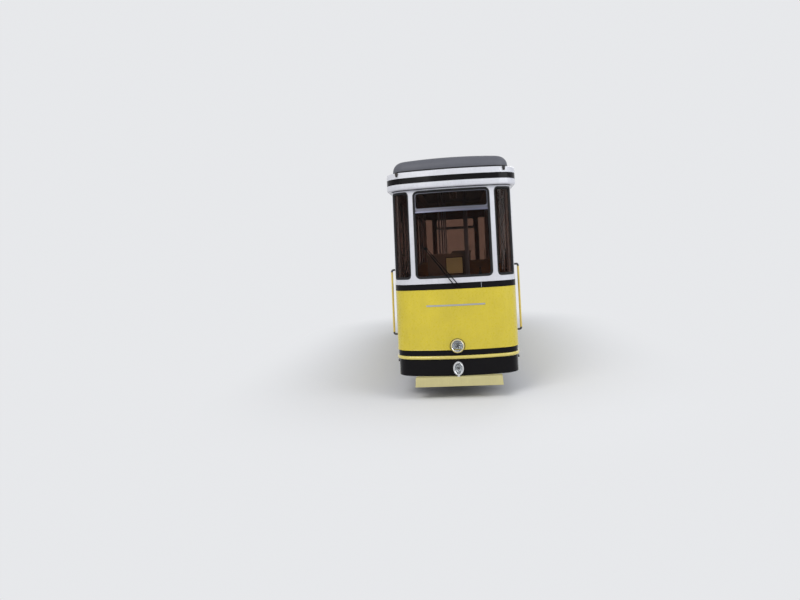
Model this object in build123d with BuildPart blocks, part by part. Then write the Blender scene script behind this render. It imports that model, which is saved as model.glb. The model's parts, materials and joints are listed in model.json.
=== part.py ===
from build123d import *
import math
import os

# Funicular car with two bogies, in millimetres.
# The track runs along Y and climbs towards +Y, and the car's downhill end faces -Y.
# Z stands square to the track, from the underside of the wheel flanges.
# End faces, posts and doors stand plumb on the slope, so they lean uphill in this frame.

os.makedirs("parts", exist_ok=True)

# Driving dimensions of the body
BODY_LENGTH = 10000
BODY_WIDTH = 2100
WALL = 60
LEAN = 8
NOSE_RADIUS = 3200
CORNER_RADIUS = 320

# Heights of the body's long lines
BEAM_BOTTOM = 220
APRON_BOTTOM = 380
MOULDING_BOTTOM = 660
MOULDING_TOP = 718
PANEL_BOTTOM = 813
BELT_BOTTOM = 1838
BELT_TOP = 1938
WINDOW_BOTTOM = 2043
WINDOW_TOP = 3535
SIDE_WINDOW_TOP = 3455
BAND_BOTTOM = 3581
BAND_TOP = 3886

# Doors and side windows, measured along the body from its middle
DOOR_START = 3500
DOOR_END = 4350
DOOR_SILL = 1000
SIDE_WINDOWS = 6
SIDE_POST = 130

# Running gear
GAUGE = 1000
RAIL_HEAD = 60
WHEEL_RADIUS = 330
FLANGE = 20
WHEELBASE = 1500
BOGIE_SPREAD = 5800

# Underframe
FRAME_TOP = 970
FRAME_BOTTOM = 740

# Measures that several pieces share
SIDE_SILL_BOTTOM = 798
BAND_OUT = 85
BEAM_OUT = 60
CLEAR = 5
GLASS = 8
FAR = BODY_LENGTH

TAN = math.tan(math.radians(LEAN))
COS = math.cos(math.radians(LEAN))
SIN = math.sin(math.radians(LEAN))
PLUMB = (0, SIN, COS)
HALF_WIDTH = BODY_WIDTH / 2
HALF_LENGTH = BODY_LENGTH / 2
AXLE_HEIGHT = WHEEL_RADIUS + FLANGE
BEAM_MIDDLE = (BEAM_BOTTOM + APRON_BOTTOM) / 2

# The whole car is centred on the origin from the downhill beam to the top of the uphill end
SHIFT = (BEAM_OUT - BAND_OUT - (BEAM_MIDDLE + BAND_TOP) * TAN) / 2

# The nose arc and the corner arc meet on the line through their centres
CORNER_X = HALF_WIDTH - CORNER_RADIUS
NOSE_CENTRE = NOSE_RADIUS - HALF_LENGTH
NOSE_ANGLE = math.degrees(math.asin(CORNER_X / (NOSE_RADIUS - CORNER_RADIUS)))
CORNER_Y = NOSE_CENTRE - (NOSE_RADIUS - CORNER_RADIUS) * math.cos(math.radians(NOSE_ANGLE))

ENDS = {"front": -1, "rear": 1}
SIDES = {"left": -1, "right": 1}


def along(place, height):
    """Y of a point of the body, from its place along the body and its height."""
    return SHIFT + place + height * TAN


def level(height):
    """Plane parallel to the track at a height, its origin on the body's leaning middle."""
    return Plane(origin=(0, along(0, height), height))


def end_plane(end, height, out=0):
    """Plane on the nose of an end, -1 downhill or 1 uphill, looking out, with its Y plumb."""
    middle = (0, along(end * HALF_LENGTH, height), height)
    return Plane(origin=middle, x_dir=(-end, 0, 0), z_dir=(0, end * COS, -end * SIN)).offset(out)


def nose_point(end, x, height, out=0):
    """Point at a distance in front of the curved nose."""
    place = math.sqrt((NOSE_RADIUS + out) ** 2 - x ** 2) - NOSE_CENTRE
    return Vector(x, along(end * place, height), height)


def run_plane(start, stop, outward):
    """Plane at the start of a straight run: X along it, Z as nearly outward as it can be."""
    run = stop - start
    return Plane(origin=start, x_dir=run, z_dir=run.cross(outward).cross(run))


def across_plane(end, height):
    """Plane across the track at the nose of an end, looking out along the track."""
    middle = (0, along(end * HALF_LENGTH, height), height)
    return Plane(origin=middle, x_dir=(-end, 0, 0), z_dir=(0, end, 0))


def side_plane(side, inset=0):
    """Plane along a side wall, -1 left or 1 right, looking out of the car."""
    return Plane(origin=(side * (HALF_WIDTH - inset), 0, 0), x_dir=(0, side, 0), z_dir=(side, 0, 0))


def outline(inset):
    """Closed plan of the body at an inset from its outer skin."""
    with BuildLine() as line:
        CenterArc((0, NOSE_CENTRE), NOSE_RADIUS - inset, -90, NOSE_ANGLE)
        CenterArc((CORNER_X, CORNER_Y), CORNER_RADIUS - inset, NOSE_ANGLE - 90, 90 - NOSE_ANGLE)
        Line((HALF_WIDTH - inset, CORNER_Y), (HALF_WIDTH - inset, 0))
        mirror(about=Plane.XZ)
        mirror(about=Plane.YZ)
    return line.line


def skin(height, outer, inner, start=-FAR, stop=FAR):
    """Plan of a ring of skin between two insets, kept from start to stop along the body."""
    with BuildSketch(level(height)) as plan:
        make_face(outline(outer).edges())
        make_face(outline(inner).edges(), mode=Mode.SUBTRACT)
        with Locations((0, (start + stop) / 2)):
            Rectangle(2 * BODY_WIDTH, stop - start, mode=Mode.INTERSECT)
    return plan.sketch


def end_skin(end, height, outer, inner, reach):
    """Plan of the skin round one end, back to a reach from the middle of the body."""
    return skin(height, outer, inner, *((-FAR, -reach) if end < 0 else (reach, FAR)))


def raise_plumb(plan, height, mode=Mode.ADD):
    """Extrude a plan up the plumb line by a height that is measured square to the track."""
    return extrude(plan, amount=height / COS, dir=PLUMB, mode=mode)


def leaning_face(side, inset, corners, radius=0):
    """Face along a side wall from corners given as place along the body and height."""
    with BuildSketch(side_plane(side, inset)) as face:
        with BuildLine():
            Polyline([(side * along(place, height), height) for place, height in corners], close=True)
        make_face()
        if radius:
            fillet(face.vertices(), radius)
    return face.sketch


def leaning_window(side, inset, start, stop, low, high, radius=0):
    """Four-sided face along a side wall with plumb sides."""
    return leaning_face(side, inset, [(start, low), (stop, low), (stop, high), (start, high)], radius)


# Lamps on each nose: height of the centre, half width and half height of the rim
LAMPS = {"upper": (880, 120, 120), "lower": (508, 92, 120)}
LAMPS_OUT = {"upper": 30, "lower": 58}
RIM = 20
RIM_GAP = 4
LAMP_DEPTH = 80
LAMP_CUT = 100


def lamp_face(end, lamp, shrink, out=0):
    """Oval of a lamp on the nose, smaller all round by shrink."""
    height, across, up = LAMPS[lamp]
    with BuildSketch(end_plane(end, height, out)) as face:
        Ellipse(up - shrink, across - shrink, rotation=90)
    return face.sketch


# End panels below the windows
for name, end in ENDS.items():
    with BuildPart() as lower_panel:
        raise_plumb(end_skin(end, PANEL_BOTTOM, 0, WALL, DOOR_END), BELT_TOP - PANEL_BOTTOM)
        extrude(lamp_face(end, "upper", RIM / 2), amount=LAMP_CUT, both=True, mode=Mode.SUBTRACT)
    lower_panel.part.label = f"{name}_lower_panel"
    export_step(lower_panel.part, f"parts/{name}_lower_panel.step")

# Windscreens and corner windows
SCREEN_HALF = 650
SCREEN_ROUND = 75
CORNER_FROM = 2
CORNER_TO = 66
CORNER_ROUND = 65
CORNER_ROUND_OUTER = 25
OPENING_LAP = 20
NOSE_CUT = 450


def screen_face(end, low, high, shrink, radius):
    """Rounded opening of the windscreen, drawn across the track."""
    middle = (low + high) / 2
    with BuildSketch(across_plane(end, middle)) as face:
        RectangleRounded(2 * (SCREEN_HALF - shrink), high - low - 2 * shrink, radius)
    return face.sketch


def corner_piece(end, side, outer, inner, low, high, grow):
    """Curved piece of a corner's skin with the window's rounded edges, as a solid."""
    def radial(angle, radius):
        turn = math.radians(angle)
        return (side * (CORNER_X + radius * math.sin(turn)), end * (-CORNER_Y + radius * math.cos(turn)))

    spread = math.degrees(grow / CORNER_RADIUS)
    start, stop = CORNER_FROM - spread, CORNER_TO + spread
    middle = (start + stop) / 2
    far, near = CORNER_RADIUS - outer, CORNER_RADIUS - inner
    with BuildSketch(level(low - grow)) as plan:
        with BuildLine():
            ThreePointArc(radial(start, far), radial(middle, far), radial(stop, far))
            Line(radial(stop, far), radial(stop, near))
            ThreePointArc(radial(stop, near), radial(middle, near), radial(start, near))
            Line(radial(start, near), radial(start, far))
        make_face()
    with BuildPart() as piece:
        raise_plumb(plan.sketch, high - low + 2 * grow)
        radials = piece.edges().filter_by(GeomType.LINE).filter_by(Plane.XY)
        radials = radials.sort_by(lambda edge: abs(edge.center().X))
        fillet(radials[:2], CORNER_ROUND + grow)
        radials = piece.edges().filter_by(GeomType.LINE).filter_by(Plane.XY)
        radials = radials.sort_by(lambda edge: abs(edge.center().X))
        fillet(radials[-2:], CORNER_ROUND_OUTER + grow)
    return piece.part


for name, end in ENDS.items():
    with BuildPart() as window_frame:
        raise_plumb(end_skin(end, BELT_TOP, 0, WALL, DOOR_END), BAND_BOTTOM - BELT_TOP)
        opening = screen_face(end, WINDOW_BOTTOM, WINDOW_TOP, 0, SCREEN_ROUND)
        extrude(opening, amount=NOSE_CUT, both=True, mode=Mode.SUBTRACT)
        for side in SIDES.values():
            hole = corner_piece(end, side, -OPENING_LAP, WALL + OPENING_LAP, WINDOW_BOTTOM, WINDOW_TOP, 0)
            add(hole, mode=Mode.SUBTRACT)
    window_frame.part.label = f"{name}_window_frame"
    export_step(window_frame.part, f"parts/{name}_window_frame.step")

# Glass of the ends: windscreens below the vent panes, and the corner panes
GLASS_INSET = 26
GLASS_GAP = 4
VENT_HEIGHT = 340
VENT_BAR = 46
VENT_FRAME = 34
VENT_DEPTH = 24
VENT_OUT = 12
VENT_GAP = 3
VENT_ROUND = 60
VENT_ROUND_INNER = 44
NOSE_REACH = 4000
vent_low = WINDOW_TOP - VENT_HEIGHT

# Panes of each windscreen: bottom, top, gap at the sides and radius of the corners
SCREEN_PANES = (
    (WINDOW_BOTTOM, vent_low, GLASS_GAP, GLASS_GAP),
    (vent_low + VENT_BAR, WINDOW_TOP - VENT_FRAME, VENT_FRAME + GLASS_GAP, VENT_ROUND_INNER - GLASS_GAP),
)


def screen_pane(end, low, high, side_gap, radius):
    """Curved pane that follows the nose."""
    with BuildPart() as pane:
        raise_plumb(end_skin(end, low, GLASS_INSET, GLASS_INSET + GLASS, NOSE_REACH), high - low)
        with BuildSketch(across_plane(end, (low + high) / 2)):
            RectangleRounded(2 * (SCREEN_HALF - side_gap), high - low - 2 * GLASS_GAP, radius)
        extrude(amount=NOSE_CUT, both=True, mode=Mode.INTERSECT)
    return pane.part


def corner_pane(end, side):
    """Curved pane of one corner window."""
    with BuildPart() as pane:
        skin_plan = end_skin(end, WINDOW_BOTTOM, GLASS_INSET, GLASS_INSET + GLASS, NOSE_REACH)
        raise_plumb(skin_plan, WINDOW_TOP - WINDOW_BOTTOM)
        window = corner_piece(end, side, -OPENING_LAP, WALL + OPENING_LAP,
                              WINDOW_BOTTOM, WINDOW_TOP, -GLASS_GAP)
        add(window, mode=Mode.INTERSECT)
    return pane.part


def vent_frame(end):
    """Frame of a vent pane, with the bar below it."""
    outer_face, inner_face = GLASS_INSET - VENT_OUT, GLASS_INSET + VENT_DEPTH
    pane_low, pane_high = vent_low + VENT_BAR, WINDOW_TOP - VENT_FRAME
    with BuildPart() as frame:
        raise_plumb(end_skin(end, vent_low, outer_face, inner_face, NOSE_REACH), VENT_HEIGHT)
        border = screen_face(end, vent_low, WINDOW_TOP, VENT_GAP, VENT_ROUND)
        extrude(border, amount=NOSE_CUT, both=True, mode=Mode.INTERSECT)
        with BuildSketch(across_plane(end, (pane_low + pane_high) / 2)):
            RectangleRounded(2 * (SCREEN_HALF - VENT_FRAME), pane_high - pane_low, VENT_ROUND_INNER)
        extrude(amount=NOSE_CUT, both=True, mode=Mode.SUBTRACT)
    return frame.part


with BuildPart() as end_glass:
    for end in ENDS.values():
        for low, high, side_gap, radius in SCREEN_PANES:
            add(screen_pane(end, low, high, side_gap, radius))
        for side in SIDES.values():
            add(corner_pane(end, side))
end_glass.part.label = "end_glass"
export_step(end_glass.part, "parts/end_glass.step")

with BuildPart() as vent_frames:
    for end in ENDS.values():
        add(vent_frame(end))
vent_frames.part.label = "vent_frames"
export_step(vent_frames.part, "parts/vent_frames.step")

# Side walls: a panel below the belt that runs on under the doors, and a window wall between the doors
SIDE_ROUND = 60
pitch = (2 * DOOR_START - SIDE_POST) / SIDE_WINDOWS
window_length = pitch - SIDE_POST
window_starts = [SIDE_POST - DOOR_START + pitch * index for index in range(SIDE_WINDOWS)]

for name, side in SIDES.items():
    with BuildPart() as lower_wall:
        extrude(leaning_face(side, 0, [
            (-DOOR_END, PANEL_BOTTOM), (DOOR_END, PANEL_BOTTOM), (DOOR_END, DOOR_SILL),
            (DOOR_START, DOOR_SILL), (DOOR_START, BELT_TOP), (-DOOR_START, BELT_TOP),
            (-DOOR_START, DOOR_SILL), (-DOOR_END, DOOR_SILL),
        ]), amount=-WALL)
    lower_wall.part.label = f"{name}_lower_wall"
    export_step(lower_wall.part, f"parts/{name}_lower_wall.step")

    with BuildPart() as window_wall:
        extrude(leaning_window(side, 0, -DOOR_START, DOOR_START, BELT_TOP, BAND_BOTTOM), amount=-WALL)
        for start in window_starts:
            hole = leaning_window(side, 0, start, start + window_length,
                                  WINDOW_BOTTOM, SIDE_WINDOW_TOP, SIDE_ROUND)
            extrude(hole, amount=-WALL, mode=Mode.SUBTRACT)
    window_wall.part.label = f"{name}_window_wall"
    export_step(window_wall.part, f"parts/{name}_window_wall.step")

with BuildPart() as side_glass:
    for side in SIDES.values():
        for start in window_starts:
            pane = leaning_window(side, GLASS_INSET, start + GLASS_GAP, start + window_length - GLASS_GAP,
                                  WINDOW_BOTTOM + GLASS_GAP, SIDE_WINDOW_TOP - GLASS_GAP,
                                  SIDE_ROUND - GLASS_GAP)
            extrude(pane, amount=-GLASS)
side_glass.part.label = "side_glass"
export_step(side_glass.part, "parts/side_glass.step")

# Black belt stripe, the sill band with its moulding, and the roof band with its stripe
STRIPE = 3
SILL_INSET = 12
SILL_THICK = 40

with BuildPart() as belt_stripe:
    for end in ENDS.values():
        raise_plumb(end_skin(end, BELT_BOTTOM, -STRIPE, 0, DOOR_END), BELT_TOP - BELT_BOTTOM)
    for side in SIDES.values():
        extrude(leaning_window(side, 0, -DOOR_START, DOOR_START, BELT_BOTTOM, BELT_TOP), amount=STRIPE)
belt_stripe.part.label = "belt_stripe"
export_step(belt_stripe.part, "parts/belt_stripe.step")

with BuildPart() as sill_band:
    raise_plumb(skin(MOULDING_BOTTOM, SILL_INSET, SILL_INSET + SILL_THICK), PANEL_BOTTOM - MOULDING_BOTTOM)
    for end in ENDS.values():
        extrude(lamp_face(end, "upper", RIM / 2), amount=LAMP_CUT, both=True, mode=Mode.SUBTRACT)
sill_band.part.label = "sill_band"
export_step(sill_band.part, "parts/sill_band.step")

# The moulding is half round
MOULDING_OUT = 14
MOULDING_ROUND = 20
with BuildPart() as sill_moulding:
    raise_plumb(skin(MOULDING_BOTTOM, -MOULDING_OUT, SILL_INSET), MOULDING_TOP - MOULDING_BOTTOM)
    rings = sill_moulding.faces().sort_by(Axis.Z)
    fillet(rings[-1].outer_wire().edges() + rings[0].outer_wire().edges(), MOULDING_ROUND)
sill_moulding.part.label = "sill_moulding"
export_step(sill_moulding.part, "parts/sill_moulding.step")

APRON_INSET = 20
APRON_THICK = 22
APRON_REACH = 4450
with BuildPart() as end_aprons:
    for end in ENDS.values():
        plan = end_skin(end, APRON_BOTTOM, APRON_INSET, APRON_INSET + APRON_THICK, APRON_REACH)
        raise_plumb(plan, MOULDING_BOTTOM - APRON_BOTTOM)
        extrude(lamp_face(end, "lower", RIM / 2), amount=LAMP_CUT, both=True, mode=Mode.SUBTRACT)
end_aprons.part.label = "end_aprons"
export_step(end_aprons.part, "parts/end_aprons.step")

BAND_STRIPE_LOW = 3683
BAND_STRIPE_HIGH = 3785
BAND_GROOVE = 6
BAND_ROUND = 24
with BuildPart() as roof_band:
    raise_plumb(skin(BAND_BOTTOM, -BAND_OUT, WALL), BAND_TOP - BAND_BOTTOM)
    raise_plumb(skin(BAND_STRIPE_LOW, -2 * BAND_OUT, BAND_GROOVE - BAND_OUT),
                BAND_STRIPE_HIGH - BAND_STRIPE_LOW, Mode.SUBTRACT)
    rings = roof_band.faces().sort_by(Axis.Z)
    fillet(rings[-1].outer_wire().edges() + rings[0].outer_wire().edges(), BAND_ROUND)
roof_band.part.label = "roof_band"
export_step(roof_band.part, "parts/roof_band.step")

with BuildPart() as band_stripe:
    raise_plumb(skin(BAND_STRIPE_LOW, -BAND_OUT, BAND_GROOVE - BAND_OUT), BAND_STRIPE_HIGH - BAND_STRIPE_LOW)
band_stripe.part.label = "band_stripe"
export_step(band_stripe.part, "parts/band_stripe.step")

# Roof: a hollow dome with a slightly cambered top and rounded shoulders
ROOF_INSET = 35
ROOF_RISE = 230
ROOF_CAMBER = 22
ROOF_SHELL = 45
ROOF_ROUND = 165


def dome(inset, rise, radius):
    """Roof-shaped block on top of the band."""
    with BuildPart() as block:
        with BuildSketch(level(BAND_TOP)):
            make_face(outline(inset).edges())
        extrude(amount=rise)
        with BuildSketch(Plane(origin=(0, 0, BAND_TOP), x_dir=(1, 0, 0), z_dir=(0, -1, 0))):
            with BuildLine():
                edge = (HALF_WIDTH, rise - ROOF_CAMBER)
                ThreePointArc((-edge[0], edge[1]), (0, rise), edge)
                Polyline(edge, (HALF_WIDTH, 0), (-HALF_WIDTH, 0), (-edge[0], edge[1]))
            make_face()
        extrude(amount=FAR, both=True, mode=Mode.INTERSECT)
        fillet(block.faces().sort_by(Axis.Z)[-1].edges(), radius)
    return block.part


with BuildPart() as roof:
    add(dome(ROOF_INSET, ROOF_RISE, ROOF_ROUND))
    add(dome(ROOF_INSET + ROOF_SHELL, ROOF_RISE - ROOF_SHELL, ROOF_ROUND - ROOF_SHELL), mode=Mode.SUBTRACT)
roof.part.label = "roof"
export_step(roof.part, "parts/roof.step")

# Lamps: tapered rims on closed cups, with bevelled lenses; the lower lamp has a foot on the beam
RIM_NARROWS = {"upper": 8, "lower": 5}
CUP_WALL = 6
LENS_GAP = 1
LENS_EDGE = 8
LENS_BEVEL = 10
FOOT_HALF = 26
FOOT_TIP_HALF = 15
FOOT_OUT = 56
FOOT_LAP = 12
FOOT_GAP = 1


def lamp_cone(end, lamp, base, top):
    """Cone between two ovals, each given as shrink and distance in front of the nose."""
    loft([lamp_face(end, lamp, *base).face(), lamp_face(end, lamp, *top).face()])


with BuildPart() as lamp_rims:
    for end in ENDS.values():
        for lamp, out in LAMPS_OUT.items():
            lamp_cone(end, lamp, (0, RIM_GAP), (RIM_NARROWS[lamp], out))
            extrude(lamp_face(end, lamp, RIM / 2 + LENS_GAP, RIM_GAP), amount=-LAMP_DEPTH)
            extrude(lamp_face(end, lamp, RIM, out), amount=CUP_WALL - LAMP_DEPTH - out, mode=Mode.SUBTRACT)
        height, _, up = LAMPS["lower"]
        foot_top = FOOT_LAP - up
        foot_low = FOOT_GAP - (height - APRON_BOTTOM) / COS
        with BuildSketch(end_plane(end, height, RIM_GAP)):
            with BuildLine():
                Polyline((-FOOT_TIP_HALF, foot_top), (FOOT_TIP_HALF, foot_top), (FOOT_HALF, foot_low),
                         (-FOOT_HALF, foot_low), close=True)
            make_face()
        extrude(amount=FOOT_OUT - RIM_GAP, dir=(0, end, 0))
lamp_rims.part.label = "lamp_rims"
export_step(lamp_rims.part, "parts/lamp_rims.step")

with BuildPart() as lamp_lenses:
    for end in ENDS.values():
        for lamp, out in LAMPS_OUT.items():
            back = out - LENS_BEVEL - 2 * LENS_EDGE
            shrink, edge = RIM + LENS_GAP, back + LENS_EDGE
            extrude(lamp_face(end, lamp, shrink, back), amount=LENS_EDGE)
            lamp_cone(end, lamp, (shrink, edge), (shrink + LENS_BEVEL, edge + LENS_BEVEL))
lamp_lenses.part.label = "lamp_lenses"
export_step(lamp_lenses.part, "parts/lamp_lenses.step")

# Bumper beams below the aprons, a little wider at the bottom, with the arms that hold them
BEAM_WIDTH = 1450
BEAM_FLARE = 12
BEAM_DEPTH = 150
BEAM_EDGE = 6
ARM_HALF = 45
ARM_PLACE = 420
ARM_BACK = 300
ARM_HIGH = 110
ARM_POST = 120
with BuildPart() as bumper_beams:
    for end in ENDS.values():
        front = along(end * HALF_LENGTH, BEAM_MIDDLE) + end * BEAM_OUT
        half, rise = BEAM_WIDTH / 2, (APRON_BOTTOM - BEAM_BOTTOM) / 2
        with BuildSketch(Plane(origin=(0, front, BEAM_MIDDLE), x_dir=(1, 0, 0), z_dir=(0, -1, 0))):
            with BuildLine():
                Polyline((-half, rise), (half, rise), (half + BEAM_FLARE, -rise),
                         (-half - BEAM_FLARE, -rise), close=True)
            make_face()
        extrude(amount=end * BEAM_DEPTH)
    fillet(bumper_beams.edges().filter_by(Axis.X), BEAM_EDGE)
    for end in ENDS.values():
        front = along(end * HALF_LENGTH, BEAM_MIDDLE) + end * BEAM_OUT
        arm_middle = front - end * (BEAM_DEPTH + ARM_BACK) / 2
        post_middle = front - end * (BEAM_DEPTH + ARM_BACK - ARM_POST / 2)
        for side in SIDES.values():
            with Locations((side * ARM_PLACE, arm_middle, BEAM_MIDDLE)):
                Box(2 * ARM_HALF, BEAM_DEPTH + ARM_BACK - 2 * BEAM_EDGE, ARM_HIGH)
            with Locations((side * ARM_PLACE, post_middle, (BEAM_BOTTOM + FRAME_BOTTOM) / 2)):
                Box(2 * ARM_HALF, ARM_POST, FRAME_BOTTOM - BEAM_BOTTOM)
bumper_beams.part.label = "bumper_beams"
export_step(bumper_beams.part, "parts/bumper_beams.step")

# Underframe: two channels, side sills and cross members, with bolsters over the bogies
foot = along(0, FRAME_BOTTOM)
bogie_places = {name: foot + end * BOGIE_SPREAD / 2 for name, end in ENDS.items()}
CHANNEL_LENGTH = 9240
CHANNEL_WEB = 14
CHANNEL_FLANGE = 18
SILL_LENGTH = 8700
SILL_MIDDLE = 925
SILL_WIDTH = 130
CROSS_PLACES = (-4500, -3600, -2900, -2200, -1200, 0, 1200, 2200, 2900, 3600, 4500)
CROSS_WIDTH = 1720
CROSS_LENGTH = 120
CROSS_BOTTOM = FRAME_BOTTOM + 60
BOLSTER_LENGTH = 420

with BuildPart() as underframe:
    for side in SIDES.values():
        with Locations((side * SILL_MIDDLE, along(0, FRAME_TOP), (SIDE_SILL_BOTTOM + FRAME_TOP) / 2)):
            Box(SILL_WIDTH, SILL_LENGTH, FRAME_TOP - SIDE_SILL_BOTTOM)
        outer, inner = side * (ARM_PLACE + ARM_HALF), side * (ARM_PLACE - ARM_HALF)
        web = inner + side * CHANNEL_WEB
        upper, lower = FRAME_TOP - CHANNEL_FLANGE, FRAME_BOTTOM + CHANNEL_FLANGE
        with BuildSketch(Plane(origin=(0, foot, 0), x_dir=(1, 0, 0), z_dir=(0, -1, 0))):
            with BuildLine():
                Polyline((outer, FRAME_BOTTOM), (inner, FRAME_BOTTOM), (inner, FRAME_TOP), (outer, FRAME_TOP),
                         (outer, upper), (web, upper), (web, lower), (outer, lower), close=True)
            make_face()
        extrude(amount=CHANNEL_LENGTH / 2, both=True)
    for place in CROSS_PLACES:
        with Locations((0, foot + place, (CROSS_BOTTOM + FRAME_TOP) / 2)):
            Box(CROSS_WIDTH, CROSS_LENGTH, FRAME_TOP - CROSS_BOTTOM)
    for place in bogie_places.values():
        with Locations((0, place, (FRAME_BOTTOM + FRAME_TOP) / 2)):
            Box(CROSS_WIDTH, BOLSTER_LENGTH, FRAME_TOP - FRAME_BOTTOM)
underframe.part.label = "underframe"
export_step(underframe.part, "parts/underframe.step")

# Pivots of the bogies under the bolsters: a bolted plate with a tapered collar and the pin
PIVOT_RADIUS = 70
PIVOT_PLATE = 30
PIVOT_PLATE_HALF = 170
PIVOT_PLATE_ROUND = 40
PIVOT_LENGTH = 150
PIVOT_COLLAR = 4
PIVOT_BEVEL = 8
with BuildPart() as bogie_pivots:
    for place in bogie_places.values():
        with BuildSketch(Plane(origin=(0, place, FRAME_BOTTOM), z_dir=(0, 0, -1))):
            RectangleRounded(2 * PIVOT_PLATE_HALF, 2 * PIVOT_PLATE_HALF, PIVOT_PLATE_ROUND)
        extrude(amount=PIVOT_PLATE)
        with BuildSketch(Plane(origin=(0, place, FRAME_BOTTOM), x_dir=(1, 0, 0), z_dir=(0, -1, 0))):
            with BuildLine():
                collar = PIVOT_RADIUS + PIVOT_COLLAR
                Polyline((0, 0), (collar, 0), (collar, -PIVOT_PLATE),
                         (PIVOT_RADIUS, -PIVOT_PLATE - PIVOT_COLLAR),
                         (PIVOT_RADIUS, PIVOT_BEVEL - PIVOT_LENGTH),
                         (PIVOT_RADIUS - PIVOT_BEVEL, -PIVOT_LENGTH), (0, -PIVOT_LENGTH), close=True)
            make_face()
        revolve(axis=Axis((0, place, 0), (0, 0, 1)))
bogie_pivots.part.label = "bogie_pivots"
export_step(bogie_pivots.part, "parts/bogie_pivots.step")

# Stepped floor: each platform is level on the slope, so it falls uphill in this frame
FLOOR_LOW = 1014
FLOOR_THICK = 40
FLOOR_HALF = 930
PLATFORM_EDGES = [-4880, -3200, -1067, 1067, 3200, 4860]
FALL = SIN * COS


def platform_rise(index):
    """Height of a platform's downhill edge over its uphill edge."""
    return (PLATFORM_EDGES[index + 1] - PLATFORM_EDGES[index]) * FALL


steps = []
for index in range(len(PLATFORM_EDGES) - 1):
    steps.append((PLATFORM_EDGES[index], FLOOR_LOW + platform_rise(index)))
    steps.append((PLATFORM_EDGES[index + 1], FLOOR_LOW))
under = [(place + FLOOR_THICK, height - FLOOR_THICK) for place, height in reversed(steps)]

with BuildPart() as stepped_floor:
    with BuildSketch(side_plane(1, HALF_WIDTH)):
        with BuildLine():
            Polyline([(along(place, height), height) for place, height in steps + under], close=True)
        make_face()
    extrude(amount=FLOOR_HALF, both=True)
    with BuildSketch(level(FLOOR_LOW - 100)):
        make_face(outline(HALF_WIDTH - FLOOR_HALF).edges())
    raise_plumb(None, 600, Mode.INTERSECT)
stepped_floor.part.label = "stepped_floor"
export_step(stepped_floor.part, "parts/stepped_floor.step")

# Door leaves, which slide along the inside of the walls, and their panes
LEAF_GAP = 65
LEAF_THICK = 40
LEAF_LAP = 30
LEAF_BOTTOM = 985
LEAF_TOP = 3610
LEAF_STILE = 130
LEAF_WINDOW_TOP = 3430
LEAF_PANEL_LOW = 1110
LEAF_PANEL_HIGH = 1760
LEAF_PRESSING = 8
LEAF_ROUND = 60
LEAF_PANEL_ROUND = 50
LEAF_GLASS_INSET = 16
TRACK_GAP = 15
TRACK_SECTION = 50
TRACK_ENDS = (2600, 4400)
HANDLE_LOW = 2120
HANDLE_HIGH = 2420
HANDLE_IN = 62
HANDLE_RADIUS = 11
HANDLE_STAND = 34
HANDLE_BEND = 20

for name, end in ENDS.items():
    start, stop = sorted((end * (DOOR_START - LEAF_LAP), end * (DOOR_END + LEAF_LAP)))
    for side_name, side in SIDES.items():
        with BuildPart() as door:
            extrude(leaning_window(side, LEAF_GAP, start, stop, LEAF_BOTTOM, LEAF_TOP), amount=-LEAF_THICK)
            hole = leaning_window(side, LEAF_GAP, start + LEAF_STILE, stop - LEAF_STILE,
                                  WINDOW_BOTTOM, LEAF_WINDOW_TOP, LEAF_ROUND)
            extrude(hole, amount=-LEAF_THICK, mode=Mode.SUBTRACT)
            for inset, inward in ((LEAF_GAP, -LEAF_PRESSING), (LEAF_GAP + LEAF_THICK, LEAF_PRESSING)):
                pressing = leaning_window(side, inset, start + LEAF_STILE, stop - LEAF_STILE,
                                          LEAF_PANEL_LOW, LEAF_PANEL_HIGH, LEAF_PANEL_ROUND)
                extrude(pressing, amount=inward, mode=Mode.SUBTRACT)
            # Pull handle on the inner face, on the stile that opens
            handle_x = side * (HALF_WIDTH - LEAF_GAP - LEAF_THICK)
            handle_place = end * (DOOR_END + LEAF_LAP - HANDLE_IN)
            into = Vector(-side * HANDLE_STAND, 0, 0)
            low_end = Vector(handle_x, along(handle_place, HANDLE_LOW), HANDLE_LOW)
            high_end = Vector(handle_x, along(handle_place, HANDLE_HIGH), HANDLE_HIGH)
            with BuildLine() as grip:
                FilletPolyline(low_end, low_end + into, high_end + into, high_end, radius=HANDLE_BEND)
            with BuildSketch(Plane(origin=low_end, z_dir=into)):
                Circle(HANDLE_RADIUS)
            sweep(path=grip.line)
        door.part.label = f"{name}_{side_name}_door"
        export_step(door.part, f"parts/{name}_{side_name}_door.step")

        with BuildPart() as door_glass:
            pane = leaning_window(side, LEAF_GAP + LEAF_GLASS_INSET, start + LEAF_STILE, stop - LEAF_STILE,
                                  WINDOW_BOTTOM, LEAF_WINDOW_TOP, LEAF_ROUND)
            extrude(pane, amount=-GLASS)
        door_glass.part.label = f"{name}_{side_name}_door_glass"
        export_step(door_glass.part, f"parts/{name}_{side_name}_door_glass.step")

# Rails over the doors, long enough for the open leaf
track_bottom = LEAF_TOP + TRACK_GAP
with BuildPart() as door_tracks:
    for end in ENDS.values():
        start, stop = sorted(end * place for place in TRACK_ENDS)
        for side in SIDES.values():
            rail = leaning_window(side, WALL, start, stop, track_bottom, track_bottom + TRACK_SECTION)
            extrude(rail, amount=-TRACK_SECTION)
door_tracks.part.label = "door_tracks"
export_step(door_tracks.part, "parts/door_tracks.step")

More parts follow.
